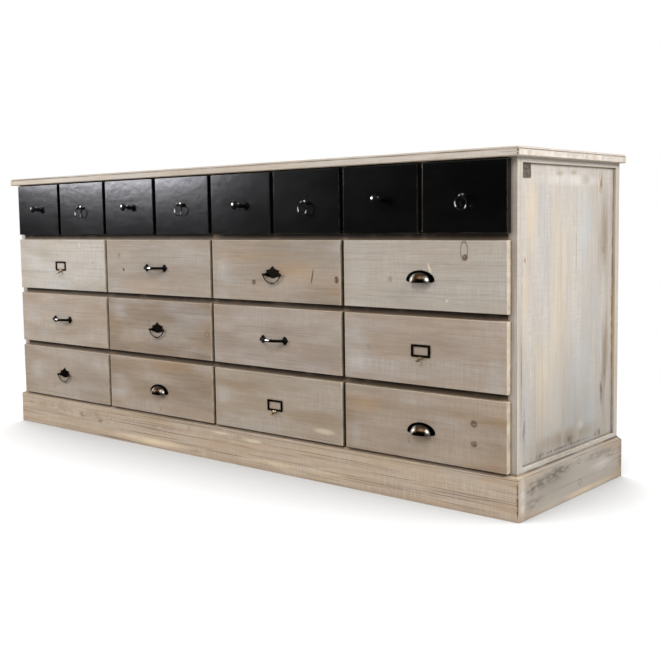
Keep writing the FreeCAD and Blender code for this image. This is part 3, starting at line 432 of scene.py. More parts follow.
def limed_pine(name, grain, stock, finish, knots=(), rings_round=(), marks=(), boxed=False, under=(),
               lines=(), mitre=None):
    """Sawn pine, brushed, limed and rubbed back. The stock number picks the tree it was cut from.

    The eye sees grey-beige boards with fine grain, white paste in the pores, a cold bloom where the paste
    lies thick, bare cream arrises with a painted highlight on those that look up, and painted shade in gaps."""
    material, tree, shader = new_material(name)
    place, flat, axes = board_place(tree, grain, mitre)
    own, rings, late_wood, fibres, cores, halos = pine_figure(tree, place, stock, flat, knots)
    length, width = finish["cloud"]
    cloud, cold, drift = (streaks(tree, own, (length * longer, width * wider, width * wider), *rest)
                          for longer, wider, *rest in CLOUDS)
    rough, brush, patchy = (streaks(tree, own, *pattern) for pattern in (ROUGH, BRUSH, PATCHY))

    wood = coats(tree, finish["light"],
                 (finish["dark"], rings, finish["figure"]),
                 (finish["dark"], late_wood, finish["figure"]),
                 (WARM_TINT, drift, finish["warmth"]),
                 (LIME_PASTE, cloud, finish["lime"]),
                 (COLD_PASTE, cold, finish["lime"]),
                 (LIME_PASTE, streaks(tree, own, *BRUSHED), finish["lime"] * BRUSHED_SHARE),
                 (PORE_BROWN, fibres, PORE_STRENGTH),
                 (PORE_BROWN, streaks(tree, own, *SAW_MARKS), cloud, finish["sawn"]),
                 (PORE_BROWN, rough, ROUGH_STRENGTH),
                 (CRACK_AND_GROOVE_SHADE_BROWN, streaks(tree, own, *SPLITS), finish["cracks"]))
    breaks = {None: 1.0, "rough": rough, "cloud": cloud, "brush": brush}
    wood = marked(tree, wood, flat, breaks, marks, rings_round)
    wood = coats(tree, wood, (HALO_BROWN, halos, HALO_STRENGTH),
                 (KNOT_BROWN, cores, streaks(tree, own, *KNOTTY)))

    ends = facing(tree, GRAIN_AXES[grain][0])
    patches = between(tree, patchy, LEAST_WEAR, 1.0)
    wood = coats(tree, wood, (finish.get("end_tone", END_CREAM), ends, patches, finish["ends"]),
                 (WARM_TINT, ends, brush, finish["ends"] * END_WARMTH))
    wood = shaded_in_corners_and_gaps(tree, wood, own, axes, ends, finish, under)
    wood = rubbed_back_and_highlighted(tree, wood, patches, finish)
    # Dark level lines: painted shade in the quirks and grooves of moulded edges.
    for height, half_height, strength in lines:
        level = line_at(tree, axes["Z"], height, half_height)
        wood = coats(tree, wood, (CRACK_AND_GROOVE_SHADE_BROWN, level, patches, strength))
    if "face" in finish:
        wood = coats(tree, wood, (finish["face"], facing(tree, "Y"), cloud, FACE_STRENGTH))
    if boxed:
        wood = glaze(tree, wood, box_pine(tree, stock), calc(tree, "GREATER_THAN", axes["Y"], FRONT_BACK))

    feed(tree, shader, {"Base Color": wood, "Roughness": between(tree, cloud, 0.52, 0.70),
                        "Specular IOR Level": 0.35,
                        "Normal": relief(tree, calc(tree, "MULTIPLY_ADD", late_wood, 0.6, fibres), 0.3, 0.3)})
    return material


def bare_pine(name, stock):
    """Planed pine that nobody finished: inside the carcass.

    The eye sees warm straw-coloured boards with brown growth lines and little shine."""
    material, tree, shader = new_material(name)
    _, rings, late_wood, fibres, _, _ = pine_figure(tree, board_place(tree, "lengthways")[0], stock)
    light, dark = BARE_PINE
    wood = coats(tree, light, (dark, rings, 0.6), ("94703f", late_wood, 0.4), ("7c5c3c", fibres, 0.2))
    feed(tree, shader, {"Base Color": wood, "Roughness": 0.7, "Specular IOR Level": 0.3,
                        "Normal": relief(tree, fibres, 0.4, 0.3)})
    return material


def black_paint(name, stock):
    """Satin black paint, rolled on pine and rubbed through on the arrises.

    The eye sees a deep black front with a broad soft sheen, faint grain under the paint and thin pale
    edges; behind the front the drawer is bare pine."""
    material, tree, shader = new_material(name)
    place, _, axes = board_place(tree, "lengthways")
    own, _, late_wood, _, _, _ = pine_figure(tree, place, stock)
    arris, _ = worn_edge(tree, *PAINT_ARRIS)
    deep, faded = PAINT_BLACK
    paint = coats(tree, deep, (faded, streaks(tree, own, *PAINT_TONE), 0.7),
                  (PAINT_WORN, arris, streaks(tree, own, *PAINT_PATCHY), 0.8),
                  (box_pine(tree, stock), calc(tree, "GREATER_THAN", axes["Y"], FRONT_BACK)))
    height = calc(tree, "MULTIPLY_ADD", late_wood, 0.02, streaks(tree, own, *PAINT_UNEVEN))
    feed(tree, shader, {"Base Color": paint, "Specular IOR Level": 0.57, "Specular Tint": linear(PAINT_SHEEN),
                        "Roughness": between(tree, streaks(tree, own, *PAINT_SMUDGES), 0.165, 0.185),
                        "Normal": relief(tree, height, 0.2, 0.6)})
    return material


# Metal. Its patterns are in mm and the same along every axis.

# The colour and roughness of the painted highlight spots on pulls.
HIGHLIGHT_STEEL = "dedad4"
HIGHLIGHT_ROUGHNESS = 0.34
ENAMEL_SHINE = 0.08
CAST_ARRIS = (0.8, 0.75)
SHEET_ARRIS = (0.6, 0.75)
CAST_GRAIN = 0.8
SHEET_GRAIN = 0.7

BRONZE_BLACK = "0d0a08"
# The brown of the hood's painted lit upper part, and the dark of its painted shaded middle.
BRONZE_BROWN = "523d2b"
BRONZE_DARK = "21170f"
# The arch of a hood in bright metal colours, painted highlights and reflections: its crown, its right end and
# its left end.
PAINTED_HIGHLIGHT_ARCH = ("5d4d3d", "9a948c", "f2eee8")
# Places on a cup's hood, as shares of its half width and height: middle, half size and the spot's edge.
HOOD_PLACES = ((0.0, 0.0, 1.0, 1.0, (0.86, 0.78)), (0.10, 0.20, 0.46, 0.46, (1.0, 0.75)),
               (0.10, 0.10, 0.40, 0.34, (1.0, 0.6)), (-0.46, 0.40, 0.40, 0.46, (1.0, 0.6)),
               (0.64, 0.34, 0.28, 0.42, (1.0, 0.6)))
# How far in front of the drawer the hood starts and is full, and the share of its height painted as lit.
HOOD_PROUD = (2.0, 5.0)
HOOD_LIT = (0.14, 0.46)
# The brass of a pull tongue, dull and bright, and the dark bead at its end, in mm below the card frame.
TONGUE_BRASS = ("8a754f", "c9b48a")
BEAD_BROWN = "3a2e20"
TONGUE_BEAD = (11.0, 14.0)
# The skin of a card frame: dark, mottled, and worn on its edges.
FRAME_SKIN = ("2c231d", "57463a", "8a7350")


def blotches(tree, place, size, low, high):
    """Blotches of a patina."""
    return streaks(tree, place, (size, size, size), low, high, detail=3.0)


def metal_relief(tree, place, size):
    """The fine grain of a cast or pressed surface."""
    return relief(tree, streaks(tree, place, (size, size, size), 0.3, 0.7), 0.05, 0.05)


def old_metal(name, worn, dark, rub, roughness, metallic=1.0, highlight_spots=()):
    """Cast metal with a chemical patina that use has rubbed through.

    The eye sees a dark skin with brighter metal on the rounds and arrises, and painted highlights, bright
    metal spots where highlights fall: the last argument lists each one's middle and half size, across and up."""
    material, tree, shader = new_material(name)
    place, axes = place_in_mm(tree)
    patina = blotches(tree, place, 6.0, 0.30, 0.70)
    arris, _ = worn_edge(tree, *CAST_ARRIS)
    skin = glaze(tree, dark, worn, strongest(tree, [times(tree, patina, rub), times(tree, arris, 0.5)]))
    bright, dull = roughness
    polish = between(tree, patina, dull, bright)
    if metallic == 0.0:
        feed(tree, shader, {"Specular IOR Level": ENAMEL_SHINE})
    # Bright spots painted where highlights fall.
    if highlight_spots:
        upright = joined(tree, axes["X"], axes["Z"])
        highlighted = strongest(tree, [spot(tree, upright, *where, edge=(1.0, 0.55)) for where in highlight_spots])
        skin = glaze(tree, skin, HIGHLIGHT_STEEL, highlighted)
        polish = between(tree, highlighted, polish, HIGHLIGHT_ROUGHNESS)
        metallic = between(tree, highlighted, metallic, 1.0)
    feed(tree, shader, {"Base Color": skin, "Metallic": metallic, "Roughness": polish,
                        "Normal": metal_relief(tree, place, CAST_GRAIN)})
    return material


def cup_bronze(name, low, high):
    """Antique bronze: cast and blackened with sulphur, with light and shade painted on the hood.

    The eye sees a nearly black flange, and on the hood a painted highlight arch, golden brown above and
    silvery at its two ends, round a painted dark middle. low and high are the corners of the cup in mm."""
    material, tree, shader = new_material(name)
    place, axes = place_in_mm(tree)
    upright = joined(tree, axes["X"], axes["Z"])
    middle, reach, rise = (low.x + high.x) / 2, (high.x - low.x) / 2, high.z - low.z
    hood, inner, core, left, right = (
        spot(tree, upright, middle + reach * across, low.z + rise * up, reach * half_width,
             rise * half_height, edge=edge) for across, up, half_width, half_height, edge in HOOD_PLACES)
    proud = ramp(tree, axes["Y"], *(FRONT_FACE - depth for depth in HOOD_PROUD))
    lit = ramp(tree, axes["Z"], *(low.z + rise * share for share in HOOD_LIT))
    patina = blotches(tree, place, 9.0, 0.28, 0.72)
    crown, right_end, left_end = PAINTED_HIGHLIGHT_ARCH
    arch = coats(tree, crown, (right_end, right), (left_end, left))
    # Painted highlights and shade: the arch, the lit upper part and the dark middle of the hood.
    skin = coats(tree, BRONZE_BLACK, (arch, hood, proud),
                 (glaze(tree, BRONZE_BLACK, BRONZE_BROWN, lit), inner, proud),
                 (BRONZE_DARK, core, proud), (BRONZE_BLACK, patina, 0.25))
    feed(tree, shader, {"Base Color": skin, "Metallic": 1.0, "Roughness": between(tree, patina, 0.40, 0.30),
                        "Normal": metal_relief(tree, place, CAST_GRAIN)})
    return material


def card_metal(name, frame_low):
    """A dark bronze card frame with its brass pull tongue, pressed from sheet.

    The eye sees a thin dark frame, and below it a small bright curl of yellow metal."""
    material, tree, shader = new_material(name)
    place, axes = place_in_mm(tree)
    patina = blotches(tree, place, 5.0, 0.30, 0.70)
    bead = ramp(tree, axes["Z"], *(frame_low - drop for drop in TONGUE_BEAD), kind="LINEAR")
    dull, bright = TONGUE_BRASS
    brass = coats(tree, dull, (bright, patina), (BEAD_BROWN, bead, 0.8))
    dark, mottled, worn = FRAME_SKIN
    skin = coats(tree, dark, (mottled, patina, 0.6), (worn, worn_edge(tree, *SHEET_ARRIS)[0], 0.5),
                 (brass, calc(tree, "LESS_THAN", axes["Z"], frame_low)))
    feed(tree, shader, {"Base Color": skin, "Metallic": 1.0, "Roughness": between(tree, patina, 0.34, 0.20),
                        "Normal": metal_relief(tree, place, SHEET_GRAIN)})
    return material


def new_object(name, mesh):
    """Put a mesh in the scene."""
    holder = bpy.data.objects.new(name, mesh)
    bpy.context.scene.collection.objects.link(holder)
    return holder


# A small square plate in the upper front corner of the right side panel, in mm.

PLATE_DEPTH = (-229.0, -186.0)
PLATE_HEIGHT = (787.0, 820.0)
PLATE_THICKNESS = 1.6
PLATE_DISH = 0.5
PLATE_STEPS = 8


def corner_plate():
    """A thin square plate with a slightly dished face, set on the panel."""
    panel_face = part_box("side_panels")[1].x / MM
    shares = [step / PLATE_STEPS for step in range(PLATE_STEPS + 1)]
    (front, back), (bottom, top) = PLATE_DEPTH, PLATE_HEIGHT
    shape = bmesh.new()
    rows = [[shape.verts.new((panel_face + PLATE_THICKNESS
                              - PLATE_DISH * (1 - (2 * across - 1) ** 2) * (1 - (2 * up - 1) ** 2),
                              front + across * (back - front), bottom + up * (top - bottom)))
             for across in shares] for up in shares]
    for low, high in zip(rows, rows[1:]):
        for column in range(PLATE_STEPS):
            shape.faces.new((low[column], low[column + 1], high[column + 1], high[column]))
    rim = (rows[0][:-1] + [row[-1] for row in rows[:-1]]
           + rows[-1][:0:-1] + [row[0] for row in rows[:0:-1]])
    behind = [shape.verts.new((panel_face, vert.co.y, vert.co.z)) for vert in rim]
    for number in range(len(rim)):
        shape.faces.new((rim[number - 1], rim[number], behind[number], behind[number - 1]))
    shape.faces.new(behind)
    bmesh.ops.recalc_face_normals(shape, faces=shape.faces)
    bmesh.ops.scale(shape, vec=(MM, MM, MM), verts=shape.verts)
    mesh = bpy.data.meshes.new("corner_plate")
    shape.to_mesh(mesh)
    shape.free()
    plate = new_object("corner_plate", mesh)
    mesh.materials.append(old_metal("dull_zinc", "6d665a", "453e36", 0.9, (0.5, 0.65), metallic=0.3))
    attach(plate, "carcass")


# Nails. Rows of round heads that follow the lines they are given.

NAIL_SIZES = {"Spacing": 46 * MM, "Head Radius": 2.4 * MM, "Head Height": 0.4 * MM, "Unevenness": 1.2 * MM}
NAIL_SEED = 5
HEAD_SIDES = 12
HEAD_SHOULDER = 0.72
LEAST_HEAD, LARGEST_HEAD = 0.88, 1.1


def nail_rows():
    """A tree that sets a nail head about every spacing along each line, not quite evenly."""
    tree = bpy.data.node_groups.new("nail_rows", "GeometryNodeTree")
    sockets = tree.interface
    sockets.new_socket("Lines", in_out="INPUT", socket_type="NodeSocketGeometry")
    for name, size in NAIL_SIZES.items():
        sockets.new_socket(name, in_out="INPUT", socket_type="NodeSocketFloat").default_value = size
    sockets.new_socket("Facing", in_out="INPUT", socket_type="NodeSocketVector")
    sockets.new_socket("Seed", in_out="INPUT", socket_type="NodeSocketInt").default_value = NAIL_SEED
    sockets.new_socket("Material", in_out="INPUT", socket_type="NodeSocketMaterial")
    sockets.new_socket("Nails", in_out="OUTPUT", socket_type="NodeSocketGeometry")
    given = tree.nodes.new("NodeGroupInput").outputs
    line = add(tree, "GeometryNodeMeshToCurve", {"Mesh": given["Lines"]}).outputs[0]
    even = add(tree, "GeometryNodeResampleCurve", {"Curve": line, "Length": given["Spacing"]}, mode="LENGTH")
    shift = vector_calc(tree, "SCALE", (1.0, 1.0, 1.0), Scale=given["Unevenness"])
    back = vector_calc(tree, "SCALE", shift, Scale=-1.0)
    stray = add(tree, "FunctionNodeRandomValue", {0: back, 1: shift, "Seed": given["Seed"]},
                data_type="FLOAT_VECTOR").outputs[0]
    away = vector_calc(tree, "ABSOLUTE", given["Facing"])
    keep = vector_calc(tree, "SUBTRACT", (1.0, 1.0, 1.0), away)
    flat = vector_calc(tree, "MULTIPLY", stray, keep)
    places = add(tree, "GeometryNodeSetPosition", {"Geometry": even.outputs[0], "Offset": flat})
    shoulder = calc(tree, "MULTIPLY", given["Head Radius"], HEAD_SHOULDER)
    head = add(tree, "GeometryNodeMeshCone", {"Vertices": HEAD_SIDES, "Side Segments": 2,
                                              "Radius Top": shoulder, "Radius Bottom": given["Head Radius"],
                                              "Depth": given["Head Height"]}).outputs["Mesh"]
    turn = add(tree, "FunctionNodeAlignRotationToVector", {"Vector": given["Facing"]}, axis="Z").outputs[0]
    size = add(tree, "FunctionNodeRandomValue", {2: LEAST_HEAD, 3: LARGEST_HEAD, "Seed": given["Seed"]},
               data_type="FLOAT")
    nails = add(tree, "GeometryNodeInstanceOnPoints", {"Points": places.outputs[0], "Instance": head,
                                                       "Rotation": turn, "Scale": size.outputs[1]})
    real = add(tree, "GeometryNodeRealizeInstances", {"Geometry": nails.outputs[0]})
    dressed = add(tree, "GeometryNodeSetMaterial", {"Geometry": real.outputs[0],
                                                    "Material": given["Material"]})
    add(tree, "NodeGroupOutput", {"Nails": dressed.outputs[0]})
    return tree


def drive_nails(tree, name, body, groups, material, **sizes):
    """Nails of one body as a plain mesh. Each group is the way they face and the lines they follow."""
    whole = bmesh.new()
    for facing_way, lines in groups:
        points = [tuple(part * MM for part in point) for line in lines for point in line]
        path = bpy.data.meshes.new(name)
        path.from_pydata(points, [(2 * number, 2 * number + 1) for number in range(len(lines))], [])
        holder = new_object(name, path)
        rows = holder.modifiers.new("nails", "NODES")
        rows.node_group = tree
        chosen = dict(sizes, **{"Facing": facing_way, "Material": material})
        for item in tree.interface.items_tree:
            if item.in_out == "INPUT" and item.name in chosen:
                rows[item.identifier] = chosen[item.name]
        bpy.context.view_layer.update()
        baked = bpy.data.meshes.new_from_object(holder.evaluated_get(bpy.context.evaluated_depsgraph_get()))
        whole.from_mesh(baked)
        bpy.data.objects.remove(holder)
    mesh = bpy.data.meshes.new(name)
    whole.to_mesh(mesh)
    whole.free()
    mesh.materials.append(material)
    nails = new_object(name, mesh)
    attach(nails, body)


# A drawer box in its front's box, and where the nails go in from its edges, in mm.
SIDE_INSET = 7.5
BOX_RISE = 6.3
BOX_HEIGHT = 140.0
BOX_BOARD = 12.0
BOX_NAIL_INSET = 24.0
BACK_NAIL_INSET = 4.0
BACK_NAIL_SPACING = 110.0
TOP_PINS = [[(1000, -282, 838.5), (1000, -282, 846)]]
PIN_SIZES = {"Spacing": 7 * MM, "Head Radius": 1.9 * MM, "Unevenness": 0.3 * MM}


def nail_drawers(tree, material):
    """Nails through the sides of each drawer into its inner front and its back."""
    for node, piece in frame["nodes"].items():
        if not node.startswith(("drawer_top_", "drawer_row_")):
            continue
        low, high = (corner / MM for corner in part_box(node))
        bottom = low.z + BOX_RISE
        levels = (bottom + BOX_NAIL_INSET, bottom + BOX_HEIGHT - BOX_NAIL_INSET)
        depths = (FRONT_BACK + BOX_BOARD / 2, high.y - BOX_BOARD / 2)
        groups = [((side, 0.0, 0.0), [[(x, depth, level) for level in levels] for depth in depths])
                  for side, x in ((-1.0, low.x + SIDE_INSET), (1.0, high.x - SIDE_INSET))]
        drive_nails(tree, f"nails_{node}", piece["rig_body"], groups, material)


def nail_back(tree, material):
    """Nails round the edge of the back panel."""
    low, high = (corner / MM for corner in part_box("back_panel"))
    left, right, bottom, top = (low.x + BACK_NAIL_INSET, high.x - BACK_NAIL_INSET,
                                low.z + BACK_NAIL_INSET, high.z - BACK_NAIL_INSET)
    lines = [[(left, high.y, bottom), (right, high.y, bottom)], [(left, high.y, top), (right, high.y, top)],
             [(left, high.y, bottom), (left, high.y, top)], [(right, high.y, bottom), (right, high.y, top)]]
    drive_nails(tree, "back_nails", "carcass", [((0.0, 1.0, 0.0), lines)], material,
                Spacing=BACK_NAIL_SPACING * MM)


def dress(node, material):
    """Give a CAD node one material."""
    for slot in frame["nodes"][node].material_slots:
        slot.material = material


# Studio, in metres.

# Each soft box: its place, the point it looks at, its width and height, and its power in watts.
SOFT_LIGHTS = {"left_window": ((-3.25, -2.45, 1.60), (-0.4, -0.25, 0.70), (1.15, 1.25), 90),
               "overhead": ((0.5, -2.4, 2.9), (0.0, -0.2, 0.4), (2.4, 1.4), 64),
               "back_window": ((-1.8, 3.4, 1.9), (0.0, 0.3, 0.45), (1.8, 1.4), 70),
               "right_side": ((3.1, -0.65, 2.0), (1.0, 0.0, 0.5), (1.2, 1.2), 72)}

# The room's light on the wood, and in reflections its share in front and above, and where it turns white.
AMBIENT = 0.16
ROOM_IN_FRONT = 0.01
ROOM_ABOVE = 0.3
TURNS_WHITE_BEHIND = (-0.38, 0.2)
TURNS_WHITE_ABOVE = (0.35, 0.75)

# The floor: half its side, the reach of its painted contact shadow, how open a point is where it stays
# dark and turns white, its glow there, and the half sizes of the oval round the chest beyond which all is
# white.
FLOOR_HALF = 30.0
SHADOW_REACH = 0.8
OPEN_SKY = (0.42, 0.88)
FLOOR_GLOW = (0.04, 0.82)
FLOOR_OVAL = (2.1, 1.5, 1)
OVAL_EDGE = (0.7, 1.3)
FLOOR_BEHIND = (0.0, 1.5)
FLOOR_MIRRORED = 0.03


def soft_light(name, place, towards, size, power):
    """A soft box that looks at a point."""
    lamp = bpy.data.lights.new(name, "AREA")
    lamp.shape = "RECTANGLE"
    lamp.size, lamp.size_y = size
    lamp.energy = power
    holder = new_object(name, lamp)
    aim = (Vector(towards) - Vector(place)).to_track_quat("-Z", "Y")
    holder.matrix_world = Matrix.Translation(place) @ aim.to_matrix().to_4x4()


def white_world():
    """A world that is white to the camera, and in reflections white behind and above, dim in front."""
    world = bpy.data.worlds.new("studio")
    world.use_nodes = True
    tree = world.node_tree
    tree.nodes.clear()
    rays = add(tree, "ShaderNodeLightPath").outputs
    direction = parted(tree, add(tree, "ShaderNodeTexCoord").outputs["Generated"])
    behind = ramp(tree, direction["Y"], *TURNS_WHITE_BEHIND, ROOM_IN_FRONT)
    above = ramp(tree, direction["Z"], *TURNS_WHITE_ABOVE, 0.0, ROOM_ABOVE)
    mirrored = strongest(tree, [behind, above])
    reflected = strongest(tree, [rays["Is Glossy Ray"], rays["Is Transmission Ray"]])
    strength = strongest(tree, [rays["Is Camera Ray"], times(tree, reflected, mirrored),
                                times(tree, rays["Is Diffuse Ray"], AMBIENT)])
    backdrop = add(tree, "ShaderNodeBackground", {"Color": linear("ffffff"), "Strength": strength})
    add(tree, "ShaderNodeOutputWorld", {"Surface": backdrop.outputs[0]})
    bpy.context.scene.world = world


def white_floor():
    """A pale floor: its paper keeps the lamps' shadow, a glow that fades near the chest paints a contact
    shadow, and further out it turns white.
    """
    mesh = bpy.data.meshes.new("floor")
    half = FLOOR_HALF
    mesh.from_pydata([(-half, -half, 0), (half, -half, 0), (half, half, 0), (-half, half, 0)], [],
                     [(0, 1, 2, 3)])
    floor = new_object("floor", mesh)
    material, tree, shader = new_material("floor_paper")

    def glowing(strength):
        return add(tree, "ShaderNodeEmission", {"Color": linear("ffffff"), "Strength": strength}).outputs[0]

    def mixed(share, usual, other):
        return add(tree, "ShaderNodeMixShader", {0: share, 1: usual, 2: other}).outputs[0]

    feed(tree, shader, {"Base Color": linear("e1e1e1"), "Roughness": 1.0, "Specular IOR Level": 0.0})
    # Painted contact shadow: the floor's glow fades where ambient occlusion finds the chest close.
    openness = add(tree, "ShaderNodeAmbientOcclusion", {"Distance": SHADOW_REACH}, samples=32).outputs["AO"]
    lift = glowing(ramp(tree, openness, *OPEN_SKY, *FLOOR_GLOW, kind="LINEAR"))
    paper = add(tree, "ShaderNodeBsdfDiffuse", {"Color": linear("b0b0b0")}).outputs[0]
    pictured = add(tree, "ShaderNodeAddShader", {0: paper, 1: lift}).outputs[0]
    place = add(tree, "ShaderNodeTexCoord").outputs["Object"]
    near = add(tree, "ShaderNodeMapping", {"Vector": place, "Scale": FLOOR_OVAL}, vector_type="TEXTURE")
    far = ramp(tree, vector_calc(tree, "LENGTH", near.outputs[0]), *OVAL_EDGE)
    behind = ramp(tree, parted(tree, place)["Y"], *FLOOR_BEHIND, FLOOR_MIRRORED, kind="LINEAR")
    rays = add(tree, "ShaderNodeLightPath").outputs
    seen = mixed(rays["Is Camera Ray"], shader.outputs[0], pictured)
    lit = mixed(times(tree, far, rays["Is Camera Ray"]), seen, glowing(1.0))
    whole = mixed(rays["Is Glossy Ray"], lit, glowing(behind))
    feed(tree, tree.nodes["Material Output"], {"Surface": whole})
    mesh.materials.append(material)


# Camera. It was worked out from the chest's own edges in the photograph, 660 pixels square.

PICTURE = 660
FOCAL_PIXELS = 1008.30
PRINCIPAL_POINT = (314.75, 307.98)
CAMERA_PLACE = (2.13099, -2.27110, 0.69941)
CAMERA_YAW, CAMERA_PITCH, CAMERA_ROLL = 41.04, -5.02, -0.90
SENSOR = 36.0
NEAREST = 0.05


def place_camera():
    """The photograph's view."""
    yaw, pitch, roll = (math.radians(angle) for angle in (CAMERA_YAW, CAMERA_PITCH, CAMERA_ROLL))
    forward = Vector((-math.sin(yaw) * math.cos(pitch), math.cos(yaw) * math.cos(pitch), math.sin(pitch)))
    level = Vector((math.cos(yaw), math.sin(yaw), 0))
    upward = level.cross(forward)
    right = level * math.cos(roll) + upward * math.sin(roll)
    top = upward * math.cos(roll) - level * math.sin(roll)
    data = bpy.data.cameras.new("camera")
    data.sensor_width = SENSOR
    data.lens = FOCAL_PIXELS / PICTURE * SENSOR
    data.shift_x = (PICTURE / 2 - PRINCIPAL_POINT[0]) / PICTURE
    data.shift_y = (PRINCIPAL_POINT[1] - PICTURE / 2) / PICTURE
    data.clip_start = NEAREST
    camera = new_object("camera", data)
    turn = Matrix((right, top, -forward)).transposed().to_4x4()
    camera.matrix_world = Matrix.Translation(CAMERA_PLACE) @ turn
    bpy.context.scene.camera = camera


place_camera()

# Finishes. Colours of the wood under the paste, then how strong each part of the look is.
# Each finish's corner shade pair, a reach in mm and a strength, sets its painted shade by ambient occlusion.
FRONT = {"figure": 0.14, "warmth": 0.17, "lime": 0.24, "cracks": 0.22, "wear": 1.0, "below": 0.2,
         "ends": 0.9, "corner_shade": (20, 0.10), "sawn": 0.14, "cloud": (260, 60)}
FRAME = {"light": "a98f6e", "dark": "6d543b", "figure": 0.45, "warmth": 0.30, "lime": 0.08, "cracks": 0.35,
         "wear": 0.6, "below": 1.0, "ends": 0.4, "corner_shade": (30, 0.45), "sawn": 0.12, "cloud": (200, 40)}
PLINTH = {"light": "baa68f", "dark": "927c67", "figure": 0.26, "warmth": 0.24, "lime": 0.16, "cracks": 0.8,
          "wear": 0.6, "below": 0.5, "ends": 0.0, "corner_shade": (14, 0.35), "sawn": 0.20, "cloud": (180, 40)}
SIDE = {"light": "c0b8ae", "dark": "968b80", "figure": 0.12, "warmth": 0.12, "lime": 0.60, "cracks": 0.25,
        "wear": 1.0, "below": 1.0, "ends": 0.0, "corner_shade": (7, 0.9), "sawn": 0.10, "cloud": (420, 40)}
TOP = {"light": "b8ab9b", "dark": "93826d", "figure": 0.30, "warmth": 0.12, "lime": 0.40, "cracks": 0.5,
       "wear": 1.0, "below": 0.8, "ends": 0.8, "end_tone": "e9e5df", "corner_shade": (10, 0.3), "sawn": 0.05,
       "cloud": (300, 40)}
# The front uprights, seen only deep in the gaps between fronts, are made nearly black: painted shade.
GAP_SHADED_FRAME = dict(FRAME, light="2a2119", dark="1c1510", lime=0.03, warmth=0.0, wear=0.3)
POST = dict(SIDE, face="7a6853")
# The side rails are a lighter copy of the side finish: painted light against the shade under the top.
LIGHTENED_SIDE_RAIL = dict(SIDE, light="cfc7bd", dark="a69a8c")

# The painted shade on the end of a front, darker deeper in the gap: how dark, and where it starts and is
# full, in mm behind the face.
SHUT_END = (0.9, 4.0, 12.0)
OPEN_END = (0.6, 12.0, 16.5)
LAST_COLUMN = 4
SMALL_DRAWERS = 8

# The fronts by row and column. A tone is the early and the late wood under the paste; a shift changes the
# finish. Knots are (along, across, half length, half height, depth); rings_round are outlines of small ones.
# A mark is its kind, place, half size, strength and sometimes a turn in degrees. All sizes in mm.
# Their whitish patches near the left ends are a painted reflection of the window.
FRONTS = {
    (1, 1): dict(tone=("a59c8f", "7d6a58"), shift={"lime": 0.45}, knots=[(-557, 571, 3, 3, 0.5)],
                 marks=[("painted_sheen", -880, 575, 72, 114, 0.27), ("cream", -627, 628, 4, 12, 0.6)]),
    (1, 2): dict(tone=("93877a", "7a6959"), knots=[(-399, 552, 5, 6, 0.9)],
                 marks=[("smudge", -420, 597, 9, 14, 0.5), ("shade", -137, 580, 5, 5, 0.6),
                        ("shade", -138, 557, 6, 4, 0.6), ("tan", -300, 500, 160, 40, 0.3)]),
    (1, 3): dict(tone=("8b7e6f", "796857"), shift={"warmth": 0.4},
                 knots=[(172, 529, 7, 8, 0.9), (470, 543, 7, 10, 0.9)],
                 marks=[("painted_sheen", 50, 560, 44, 150, 0.15), ("crack", 387, 550, 2.8, 25, 1.0, -12),
                        ("tan", 330, 560, 130, 45, 0.4)]),
    (1, 4): dict(tone=("a59d92", "847565"), knots=[(859, 606, 8, 8, 0.75)],
                 rings_round=[(856, 622, 11, 24)],
                 marks=[("painted_sheen", 540, 560, 48, 152, 0.22), ("plug", 642, 550, 8, 8, 0.8),
                        ("cream", 759, 578, 4, 20, 0.6, 24), ("cream", 808, 503, 6, 6, 0.35)]),
    (2, 1): dict(tone=("9b8a78", "7c6859"),
                 marks=[("painted_sheen", -900, 400, 64, 76, 0.14), ("shade", -700, 330, 120, 20, 0.2)]),
    (2, 2): dict(tone=("816f5c", "73604e"), shift={"warmth": 0.35},
                 rings_round=[(-285, 389, 7, 9), (-24, 370, 9, 9)],
                 marks=[("painted_sheen", -420, 405, 56, 95, 0.28), ("shade", -220, 330, 180, 30, 0.3)]),
    (2, 3): dict(tone=("948578", "7a6757"), marks=[("painted_sheen", 100, 380, 72, 95, 0.27)]),
    (2, 4): dict(tone=("978778", "7a6859"),
                 marks=[("painted_sheen", 540, 370, 48, 171, 0.22), ("plug", 573, 377, 8.5, 9, 0.8),
                        ("painted_sheen", 940, 330, 32, 114, 0.16)]),
    (3, 1): dict(tone=("938576", "7e6d5c"),
                 marks=[("painted_sheen", -900, 210, 64, 114, 0.27), ("crack", -764, 229, 1.4, 20, 0.5),
                        # The brown spot at (-790, 148) is a painted shadow of the pull.
                        ("brown", -790, 148, 9, 14, 0.6), ("smudge", -617, 213, 5, 5, 0.5)]),
    (3, 2): dict(tone=("887765", "7a6858"), shift={"warmth": 0.4},
                 marks=[("brown", -239, 127, 8, 14, 0.7), ("painted_sheen", -430, 190, 40, 114, 0.16)]),
    (3, 3): dict(tone=("95846f", "7c6958"),
                 marks=[("painted_sheen", 40, 200, 40, 114, 0.16), ("cream", 420, 140, 50, 10, 0.4)]),
    (3, 4): dict(tone=("8c775f", "7a6451"), shift={"warmth": 0.55},
                 knots=[(882, 217, 10, 9, 0.7), (882, 169, 9, 8, 0.7)],
                 marks=[("brown", 696, 153, 6, 17, 0.7), ("brown", 813, 217, 14, 7, 0.4),
                        ("tan", 560, 230, 80, 40, 0.4), ("painted_sheen", 530, 150, 24, 95, 0.16)]),
}

# Dark level lines painted on moulded edges as the shade in their quirks and grooves: height, half height and
# strength.
TOP_SHADE_LINES = [(849.3, 2.0, 0.8), (834.2, 1.2, 0.35)]
PLINTH_SHADE_LINES = [(100.5, 1.0, 0.6), (107.6, 3.4, 0.85)]

